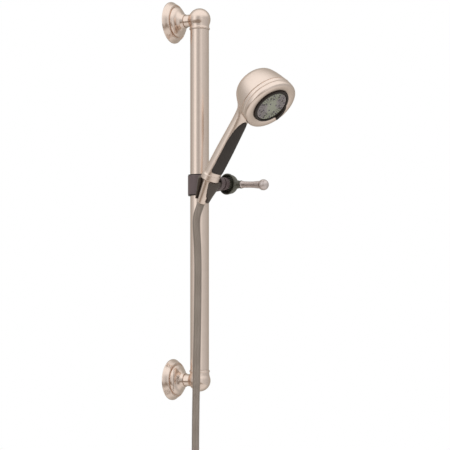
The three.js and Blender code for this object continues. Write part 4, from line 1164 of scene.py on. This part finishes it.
@dataclass
class SprayFace:
    """The front of the head: bezel, pierced face with nozzles, and the selector ring."""

    proud: float = 3.2  # how far the selector stands out in front of the drum's mouth
    lip: float = -0.2  # where the bezel ends at the selector
    ring_outer: float = 30.8
    ring_inner: float = 27.0
    tab_start: float = -38.0  # degrees to the tab's steep end
    tab_end: float = 12.0  # and to the end where it runs out into the ring
    tab_reach: float = 5.0  # how far it stands out at its steep end
    tab_rise: float = 3.4  # and forwards
    nozzle_rings: tuple = ((12, 22.8, 0.0), (7, 15.6, 15.0), (3, 7.8, 30.0))  # count, radius, first angle

    def nozzle_places(self) -> list[tuple[float, float]]:
        """Centres of the nozzles on the face."""
        return [
            (radius * math.cos(t), radius * math.sin(t))
            for count, radius, first in self.nozzle_rings
            for t in (math.radians(first) + 2 * math.pi * i / count for i in range(count))
        ]

    def bezel(self) -> bpy.types.Object:
        """The plated front ring, which bulges out to the selector."""
        inner, low = self.ring_outer + 0.4, self.lip
        bulge = flowing([(45.5, -4.0), (45.0, -1.6), (43.2, 0.2), (39.6, 1.1), (35, 0.8), (inner, low)])
        line = [(40.2, -12.6), (40.2, -9), (44.9, -9), (45.5, -7.8), *bulge]
        line += [(inner, low - 2.6), (38, -2.4), (39.2, -4), (39.2, -12.6)]
        return turned("front_bezel", line, HEAD, 160, 0.4)

    def ring_field(self, x: Array, y: Array, z: Array) -> Array:
        """The black ring with the thumb tab that turns it."""
        o, i, f = self.ring_outer, self.ring_inner, self.proud
        line = [(i, f - 5), (i, f - 1.2), (i + 0.6, f - 0.6), (o - 0.8, f - 0.6), (o, f - 1.4), (o, f - 5)]
        line += [(o - 0.4, f - 5.4), (o - 0.4, -14.3), (o - 2, -14.3), (o - 2, f - 5.4)]
        angle = np.degrees(np.arctan2(y, x))
        rise = np.clip((self.tab_end - angle) / (self.tab_end - self.tab_start), 0, 1) ** 0.7
        reach = np.hypot(x, y)
        outside = np.maximum(reach - (o + self.tab_reach * rise), (o - 2.2) - reach)
        front, behind = f - 0.9 + self.tab_rise * rise, f - 2.9 + 2.2 * rise
        tab = np.maximum(outside, slab(z, behind, front))
        side = np.maximum(self.tab_start - angle, angle - self.tab_end) * np.pi / 180 * reach
        return np.minimum(turned_distance(x, y, z, line), common(tab, side, 1.6))

    def build(self) -> None:
        """Makes and dresses the front of the head."""
        dress(self.bezel(), "handset", PLATED_ABS, ["head_bezel"], HEAD)
        edge, f = self.ring_inner - 0.4, self.proud
        face = [(0, f - 4.6), (edge, f - 4.6), (edge, f - 2.4), (edge - 0.6, f - 1.8), (0, f - 1.4)]
        dress(turned("spray_face", face, HEAD, 128, 0.2), "handset", FACE_ABS, ["face_plate"], HEAD)
        ring = carved("selector_collar", self.ring_field, (-32, -33, -15), (38, 33, 10), 0.5, HEAD)
        dress(ring, "spray_selector", BLACK_ABS, ["selector_ring"])
        dress(self.nozzles(), "handset", NOZZLE_SILICONE, ["nozzle_mat"])

    def nozzles(self) -> bpy.types.Object:
        """The nozzles on their mat, set out by Geometry Nodes on the centres given."""
        points = bpy.data.meshes.new("nozzle_centres")
        foot = (self.proud - 5.2) * MM
        points.from_pydata([(x * MM, y * MM, foot) for x, y in self.nozzle_places()], [], [])
        sizes = {"Tip radius": 0.0010, "Foot radius": 0.0016, "Height": 0.0047, "Mat radius": 0.0263}
        tree, add, given = geometry_tree("nozzles", sizes)
        tip, base = given["Tip radius"], given["Foot radius"]
        shape = {"Vertices": 12, "Radius Top": tip, "Radius Bottom": base, "Depth": given["Height"]}
        cone = add("GeometryNodeMeshCone", shape)
        copies = add("GeometryNodeInstanceOnPoints", {"Points": given["Geometry"], "Instance": cone})
        disc = {"Vertices": 96, "Radius": given["Mat radius"], "Depth": 0.0014}
        mat = add("GeometryNodeMeshCylinder", disc)
        down = {"Geometry": mat, "Translation": (0, 0, (self.proud - 5.8) * MM)}
        both = add("GeometryNodeJoinGeometry")
        for part in (copies, add("GeometryNodeTransform", down)):
            tree.links.new(part, both.node.inputs[0])
        finish_tree(add, both, NOZZLE_SILICONE.material())
        made = plain_mesh(placed("nozzle_centres", points), tree, "nozzle_set", sizes)
        made.data.transform(HEAD)
        return made


# ---------------------------------------------------------------- Geometry Nodes


def geometry_tree(name: str, sizes: dict[str, float]) -> tuple[bpy.types.NodeTree, Adder, dict]:
    """Starts a Geometry Nodes tree.

    Args:
        name: Its name.
        sizes: Its named inputs and their values, lengths in metres.

    Returns:
        The tree, a function that adds nodes to it, and its inputs by name.
    """
    tree = bpy.data.node_groups.new(name, "GeometryNodeTree")
    for way in ("INPUT", "OUTPUT"):
        tree.interface.new_socket("Geometry", in_out=way, socket_type="NodeSocketGeometry")
    for label, value in sizes.items():
        tree.interface.new_socket(label, in_out="INPUT", socket_type="NodeSocketFloat").default_value = value
    add = partial(add_node, tree)
    return tree, add, {socket.name: socket for socket in add("NodeGroupInput").node.outputs}


def finish_tree(add: Adder, made: Socket, material: bpy.types.Material) -> None:
    """Ends a tree: real geometry, with its material."""
    real = add("GeometryNodeRealizeInstances", {"Geometry": made})
    add("NodeGroupOutput", {0: add("GeometryNodeSetMaterial", {"Geometry": real, "Material": material})})


def plain_mesh(
    carrier: bpy.types.Object, tree: bpy.types.NodeTree, name: str, sizes: dict[str, float]
) -> bpy.types.Object:
    """Runs a tree on an object and keeps only the mesh that it makes.

    Args:
        carrier: The object with the points or the curve that the tree works on. It is removed.
        tree: The tree.
        name: Name of the piece.
        sizes: Values for its named inputs.

    Returns:
        An object with a plain mesh.
    """
    modifier = carrier.modifiers.new(tree.name, "NODES")
    modifier.node_group = tree
    for item in tree.interface.items_tree:
        if item.in_out == "INPUT" and item.name in sizes:
            modifier[item.identifier] = sizes[item.name]
    evaluated = carrier.evaluated_get(bpy.context.evaluated_depsgraph_get())
    mesh = bpy.data.meshes.new_from_object(evaluated)
    carrier.modifiers.remove(modifier)
    bpy.data.objects.remove(carrier)
    mesh.name = name
    return placed(name, mesh)


# ---------------------------------------------------------------- hose


RINGS_PER_RIB = 5.0
RIB_WALL = 0.45  # cosine at which a rib's steep side ends


@dataclass
class Hose:
    """The hose: straight out of the nut, down beside the bar, and folded into a tied hank."""

    diameter: float = 13.0
    length: float = 1500.0
    rib_pitch: float = 1.7
    groove: float = 0.7
    hank_top: float = -185.0
    hank_run: float = 195.0
    fold: float = 39.0
    pitch: float = 14.4
    drift: float = 10.0
    waist: float = 6.0
    tie_height: float = 16.0
    route: tuple = (
        (-38.61, -79.24, 296.2), (-38.16, -77.25, 292.19), (-37.7, -75.26, 288.18),
        (-37.26, -73.31, 284.26), (-36.6, -70.82, 278.3), (-36.0, -69.17, 272.6), (-35.45, -68.15, 266.7),
        (-34.95, -67.8, 260.7), (-34.3, -68.1, 249), (-33.5, -68.75, 234), (-32.8, -69.25, 214),
        (-32.35, -69.4, 190), (-32.15, -69.2, 162), (-32.2, -68.85, 130), (-32.5, -68.3, 85),
        (-33.1, -67.5, 35), (-33.75, -66.7, -20), (-34.25, -66.1, -70), (-34.45, -65.9, -110),
        (-34.45, -65.9, -127), (-34.45, -65.9, -140),
    )  # middle line of the free run, given one by one

    def hank(self) -> list[tuple[float, float, float]]:
        """The hank's middle line: to and fro in two layers, and up to the supply end."""
        x0, y0, z0 = self.route[-1]
        bottom, middle = self.hank_top - self.hank_run, x0 - self.fold
        end = HOSE_END.translation.z / MM
        points: list[tuple[float, float, float]] = []

        def smooth(t: float) -> float:
            return t * t * (3 - 2 * t)

        def half_width(z: float) -> float:
            t = (z - bottom) / self.hank_run
            return self.fold - (self.waist * math.sin(math.pi * t) ** 2 if 0 < t < 1 else 0)

        def run(side: int, start: float, stop: float, layer: float, climb: float, steps: int) -> None:
            for i in range(1, steps + 1):
                z = start + (stop - start) * i / steps
                y = y0 - self.pitch * (layer + climb * smooth(i / steps))
                points.append((middle + side * half_width(z), y, z))

        def turn(side: int, z: float, way: int, layer: float) -> None:
            for i in range(1, 9):
                t = math.pi * i / 8
                y = y0 - self.pitch * layer
                points.append((middle + side * self.fold * math.cos(t), y, z + way * self.fold * math.sin(t)))

        run(1, z0 - GAP, self.hank_top, 0, 0, 3)
        run(1, self.hank_top, bottom, 0, 0, 8)
        turn(1, bottom, -1, 0)
        run(-1, bottom, self.hank_top, 0, 1, 8)
        turn(-1, self.hank_top, 1, 1)
        run(1, self.hank_top, bottom, 1, 0, 8)
        turn(1, bottom, -1, 1)
        left = end - bottom
        for i in range(1, 6):
            z = bottom + min(i, 4) * (left - self.diameter) / 4 + (self.diameter if i == 5 else 0)
            level = min(z, end - self.diameter)
            risen = level - bottom
            lift = self.pitch * smooth(risen / self.hank_run) + self.drift * smooth(risen / left)
            points.append((middle - half_width(level), y0 - self.pitch - lift, z))
        return points

    def build(self) -> None:
        """Makes and dresses the hose, its tie and its supply end."""
        line = flowing([*self.route, *self.hank()], 10)
        path = [tuple(v * MM for v in p) for p in line]
        tube = self.tube(path)
        dress_cord(tube, path[0])
        tie = dress(self.tie(), "hose", WOVEN_STRAP, ["hank_tie"])
        fitting, nut, washer = self.supply()
        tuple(path[0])

    def tube(self, path: list) -> bpy.types.Object:
        """The ribbed tube: rings along the middle line whose radius follows the ribs."""
        curve = bpy.data.curves.new("hose_line", "CURVE")
        curve.dimensions = "3D"
        spline = curve.splines.new("POLY")
        spline.points.add(len(path) - 1)
        for point, p in zip(spline.points, path):
            point.co = (*p, 1)
        ribs = round(self.length / self.rib_pitch)
        sizes = {"Rib count": ribs, "Groove depth": self.groove * MM, "Outer radius": self.diameter / 2 * MM}
        tree, add, given = geometry_tree("ribbed_hose", sizes)
        count = {0: given["Rib count"], 1: RINGS_PER_RIB, 2: 1.0}
        rings = add("ShaderNodeMath", count, operation="MULTIPLY_ADD")
        fine = add("GeometryNodeResampleCurve", {"Curve": given["Geometry"], "Count": rings}, mode="COUNT")
        far = add("GeometryNodeSplineParameter", out="Factor")
        turns = add("ShaderNodeMath", {0: far, 1: given["Rib count"]}, operation="MULTIPLY")
        phase = add("ShaderNodeMath", {0: turns, 1: 2 * math.pi}, operation="MULTIPLY")
        wave = add("ShaderNodeMath", {0: phase}, operation="COSINE")
        height = add("ShaderNodeMapRange", {"Value": wave, "From Min": -RIB_WALL, "From Max": RIB_WALL})
        drop = add("ShaderNodeMath", {0: 1.0, 1: height}, operation="SUBTRACT")
        cut_in = add("ShaderNodeMath", {0: drop, 1: given["Groove depth"]}, operation="MULTIPLY")
        radius = add("ShaderNodeMath", {0: given["Outer radius"], 1: cut_in}, operation="SUBTRACT")
        marked = {"Geometry": fine, "Name": RIB_HEIGHT, "Value": height}
        kept = add("GeometryNodeStoreNamedAttribute", marked, domain="POINT", data_type="FLOAT")
        circle = add("GeometryNodeCurvePrimitiveCircle", {"Resolution": 16, "Radius": 1.0})
        sweep = {"Curve": kept, "Profile Curve": circle, "Scale": radius, "Fill Caps": True}
        skin = add("GeometryNodeSetShadeSmooth", {"Geometry": add("GeometryNodeCurveToMesh", sweep)})
        finish_tree(add, skin, HOSE_STRIP.material())
        return plain_mesh(placed("hose_line", curve), tree, "interlocked_hose", sizes)

    def tie(self) -> bpy.types.Object:
        """The strap round the hank's waist."""
        x0, y0, _ = self.route[-1]
        half, apart, clear, thick = self.fold - self.waist, self.pitch / 2, 1.0, 1.6
        slope = math.degrees(math.atan2(apart, 2 * half))

        def loop(grow: float) -> list:
            r = self.diameter / 2 + clear + grow
            near = arc((half, -apart), r, -90 - slope, 0, 10) + arc((half, apart), r, 0, 90 + slope, 10)
            return near + arc((-half, 0), r, 90 + slope, 270 - slope, 16)

        outer, inner = loop(thick), loop(0)
        place = shift(x0 - self.fold, y0 - apart, self.hank_top - self.hank_run / 2)
        h = self.tie_height / 2

        def field(x: Array, y: Array, z: Array) -> Array:
            band = np.maximum(outline_distance(x, y, outer), -outline_distance(x, y, inner))
            return common(band, np.abs(z) - h, 0.5)

        return carved("hank_strap", field, (-43, -17, -h), (43, 17, h), 0.7, place)

    def supply(self) -> list[bpy.types.Object]:
        """The fitting, nut and washer at the supply end."""
        barb = [(4, 0.3), (7.4, 0.3), (7.8, 1), (7.8, 7), (6, 7.6), (6, 10.2), (9.3, 10.2), (9.3, 12.6)]
        barb += [(4, 12.6)]
        shell = [(6.4, 8), (10.6, 8), (12, 9.2), (12, 23), (10.2, 23), (9.9, 12.9), (9.7, 10), (6.4, 9.8)]
        rows = [
            ("supply_barb", barb, 72, 0.2, "hose", TURNED_BRASS, "supply_fitting"),
            ("supply_coupling", shell, 96, 0.3, "supply_nut", BRUSHED_NICKEL, "supply_nut"),
            ("supply_gasket", ring_section(5.4, 9.7, 13, 15), 64, 0.2, "hose", SEAL_EPDM, "supply_washer"),
        ]
        return [
            dress(turned(name, line, HOSE_END, segments, ease), body, finish, [node])
            for name, line, segments, ease, body, finish, node in rows
        ]


def dress_cord(tube: bpy.types.Object, start: tuple) -> None:
    """Dresses the hose in place of the frame's hose nodes."""
    tube.data.materials.clear()
    tube.data.materials.append(HOSE_STRIP.material())
    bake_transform(tube)
    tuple(start)
    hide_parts("hose_run", "hose_hank")
    log.info("%s: %d faces", tube.name, len(tube.data.polygons))


# ---------------------------------------------------------------- inner parts of the frame


def dress_frame() -> None:
    """Gives every node of the frame the finish of its slot."""
    by_slot = {finish.slot: finish for finish in FINISHES}
    of_node = {part["node"]: part["material_slot"] for part in frame["record"]["subparts"]}
    for name, node in frame["nodes"].items():
        finish = by_slot[of_node[name]]
        node.data.materials.clear()
        node.data.materials.append(finish.material())
        log.info("%s: %s", name, finish.name)


# ---------------------------------------------------------------- studio


@dataclass
class Studio:
    """A white studio: a pale floor, soft light all round and the camera."""

    camera_azimuth: float = -60.0
    distance: float = 2148.0
    height: float = 136.0
    image_width: float = 450.0  # the unit of the next two
    focal: float = 1272.0
    optical_centre: tuple[float, float] = (199.6, 300.0)
    floor_radius: float = 2.4
    floor_drop: float = 0.31  # the hank still hangs clear of it when the slider is at the bottom
    key_size: float = 1.6
    key_power: float = 18.0
    key_place: tuple = (1.9, 2.2, 3.0)  # metres towards the camera, to its left and up
    # Brightness of the studio wall by bearing: degrees to the right of the camera, seen from the bar.
    wall_tones: tuple = (
        (-180, 0.50), (-130, 0.66), (-104, 0.62), (-80, 0.68), (-66, 1.08), (-52, 1.25), (-40, 0.86),
        (-28, 0.56), (-14, 0.49), (-2, 0.57), (12, 0.84), (22, 0.90), (36, 0.70), (60, 0.65), (90, 0.56),
        (110, 0.59), (135, 0.60), (180, 0.50),
    )
    # By height, as the sine of the elevation: the dark skirting, the pale floor, the softbox above. Then the
    # far side by depth: 1 is straight back at the camera, -1 straight away from it.
    skirting: tuple = (0.27, 0.22, 0.175)
    floor_glow: tuple = (0.84, 0.82, 0.80)
    wall_top: tuple = (1.12, 1.12, 1.12)
    far_side: tuple = (0.47, 0.45, 0.415)
    far_span: tuple[float, float] = (0.05, -0.75)
    skirting_lean: float = 0.6  # how much lower the skirting runs to the right
    skirting_span: tuple[float, float] = (-0.10, -0.24)
    floor_span: tuple[float, float] = (-0.42, -0.66)
    top_span: tuple[float, float] = (0.22, 0.66)

    def build(self) -> None:
        """Makes the floor, the light and the camera."""
        self.make_camera()
        self.make_floor()
        self.make_world()
        self.make_key()
        bpy.context.scene.view_settings.view_transform = "Standard"

    def outwards(self) -> Vector:
        """The level direction from the bar to the camera."""
        t = math.radians(self.camera_azimuth)
        return Vector((math.sin(t), -math.cos(t), 0))

    def make_camera(self) -> None:
        """The camera, level with the lower part of the bar."""
        data = bpy.data.cameras.new("camera")
        data.sensor_width = 36.0
        data.lens = self.focal * data.sensor_width / self.image_width
        out = self.outwards()
        foot = Vector((0, -SlideBar().out * MM, 0))
        camera = placed("camera", data)
        camera.location = foot + out * self.distance * MM + Vector((0, 0, self.height * MM))
        middle = self.image_width / 2
        data.shift_x = (middle - self.optical_centre[0]) / self.image_width
        data.shift_y = (self.optical_centre[1] - middle) / self.image_width
        camera.rotation_euler = (-out).to_track_quat("-Z", "Y").to_euler()
        bpy.context.scene.camera = camera

    def make_floor(self) -> None:
        """A round pale floor below the hank, which runs out into the white round it."""
        low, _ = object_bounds()
        place = Matrix.Translation((0, 0, low[2] - self.floor_drop))
        profile = [(r / MM, 0.0) for r in (0.0, 0.5, 1.0, 1.5, 2.0, self.floor_radius)]
        profile += [(self.floor_radius / MM, -8.0), (0.0, -8.0)]
        floor = turned("studio_floor", profile, place, 128, 1.0)
        made = bpy.data.materials.new("matt_paint_floor")
        add = partial(add_node, emptied(made))
        where = add("ShaderNodeTexCoord", out="Object")
        flat = add("ShaderNodeVectorMath", {0: where, 1: (1, 1, 0)}, operation="MULTIPLY")
        away = add("ShaderNodeVectorMath", {0: flat}, "Value", operation="LENGTH")
        span = {"Value": away, "From Min": 1.0, "From Max": self.floor_radius}
        paint = add("ShaderNodeBsdfPrincipled", {"Base Color": linear("#f4f2ee"), "Roughness": 0.9})
        glow = add("ShaderNodeEmission", {"Color": (1, 1, 1, 1), "Strength": 1.0})
        both = {0: add("ShaderNodeMapRange", span, **SOFT_STEP), 1: paint, 2: glow}
        add("ShaderNodeOutputMaterial", {"Surface": add("ShaderNodeMixShader", both)})
        floor.data.materials.append(made)
        floor.visible_glossy = False  # the metal mirrors the room's own floor instead
        floor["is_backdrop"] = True

    def make_world(self) -> None:
        """Soft walls that differ by bearing, a bright ceiling, and plain white behind everything."""
        world = bpy.data.worlds.new("studio")
        bpy.context.scene.world = world
        add = partial(add_node, emptied(world))
        way = add("ShaderNodeTexCoord", out="Generated")
        out = self.outwards()
        right = Vector((-out.y, out.x, 0))
        dots = [{0: way, 1: out}, {0: way, 1: right}]
        ahead, aside = (add("ShaderNodeVectorMath", dot, "Value", operation="DOT_PRODUCT") for dot in dots)
        bearing = add("ShaderNodeMath", {0: aside, 1: ahead}, operation="ARCTAN2")
        share = add("ShaderNodeMapRange", {"Value": bearing, "From Min": -math.pi, "From Max": math.pi})
        whole = add("ShaderNodeValToRGB", {0: share})
        ramp = whole.node.color_ramp
        ramp.interpolation = "EASE"
        for number, (degrees, tone) in enumerate(self.wall_tones):
            place = (degrees + 180) / 360
            stop = ramp.elements[number] if number < 2 else ramp.elements.new(place)
            stop.position = place
            stop.color = (tone / 2, tone / 2, tone / 2, 1)
        height = add("ShaderNodeSeparateXYZ", {0: way}, 2)
        to_right = add("ShaderNodeMath", {0: aside, 1: 0.0}, operation="MAXIMUM")
        slant = {0: to_right, 1: self.skirting_lean, 2: height}
        lean = add("ShaderNodeMath", slant, operation="MULTIPLY_ADD")
        for tone, along, (start, full) in (
            (self.skirting, lean, self.skirting_span), (self.floor_glow, height, self.floor_span),
            (self.wall_top, height, self.top_span), (self.far_side, ahead, self.far_span),
        ):
            span = {"Value": along, "From Min": start, "From Max": full}
            share = add("ShaderNodeMapRange", span, **SOFT_STEP)
            layer = {0: share, 6: whole, 7: (*(c / 2 for c in tone), 1)}
            whole = add("ShaderNodeMix", layer, 2, data_type="RGBA")
        room = add("ShaderNodeBackground", {"Color": whole, "Strength": 2.0})
        white = add("ShaderNodeBackground", {"Color": (1, 1, 1, 1), "Strength": 1.0})
        seen = add("ShaderNodeLightPath", out="Is Camera Ray")
        add("ShaderNodeOutputWorld", {"Surface": add("ShaderNodeMixShader", {0: seen, 1: room, 2: white})})

    def make_key(self) -> None:
        """One large soft light from high on the left, for modelling and a faint shadow."""
        data = bpy.data.lights.new("key_softbox", "AREA")
        data.shape, data.size, data.energy = "DISK", self.key_size, self.key_power
        light = placed("key_softbox", data)
        out = self.outwards()
        left = Vector((out.y, -out.x, 0))
        near, aside, up = self.key_place
        light.location = out * near + left * aside + Vector((0, 0, up))
        light.rotation_euler = (-Vector(light.location)).to_track_quat("-Z", "Y").to_euler()
        light.visible_camera = light.visible_glossy = False


def main() -> None:
    """Builds the set, piece by piece."""
    logging.basicConfig(level=logging.INFO, format="%(message)s")
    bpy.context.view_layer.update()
    dress_frame()
    Studio().build()
    Hose().build()
    for part in (SlideBar(), Slider(), ClampLever(), Cradle(), Handset(), SprayFace()):
        part.build()
        log.info("%s is built", type(part).__name__)


if __name__ == "__main__":
    main()
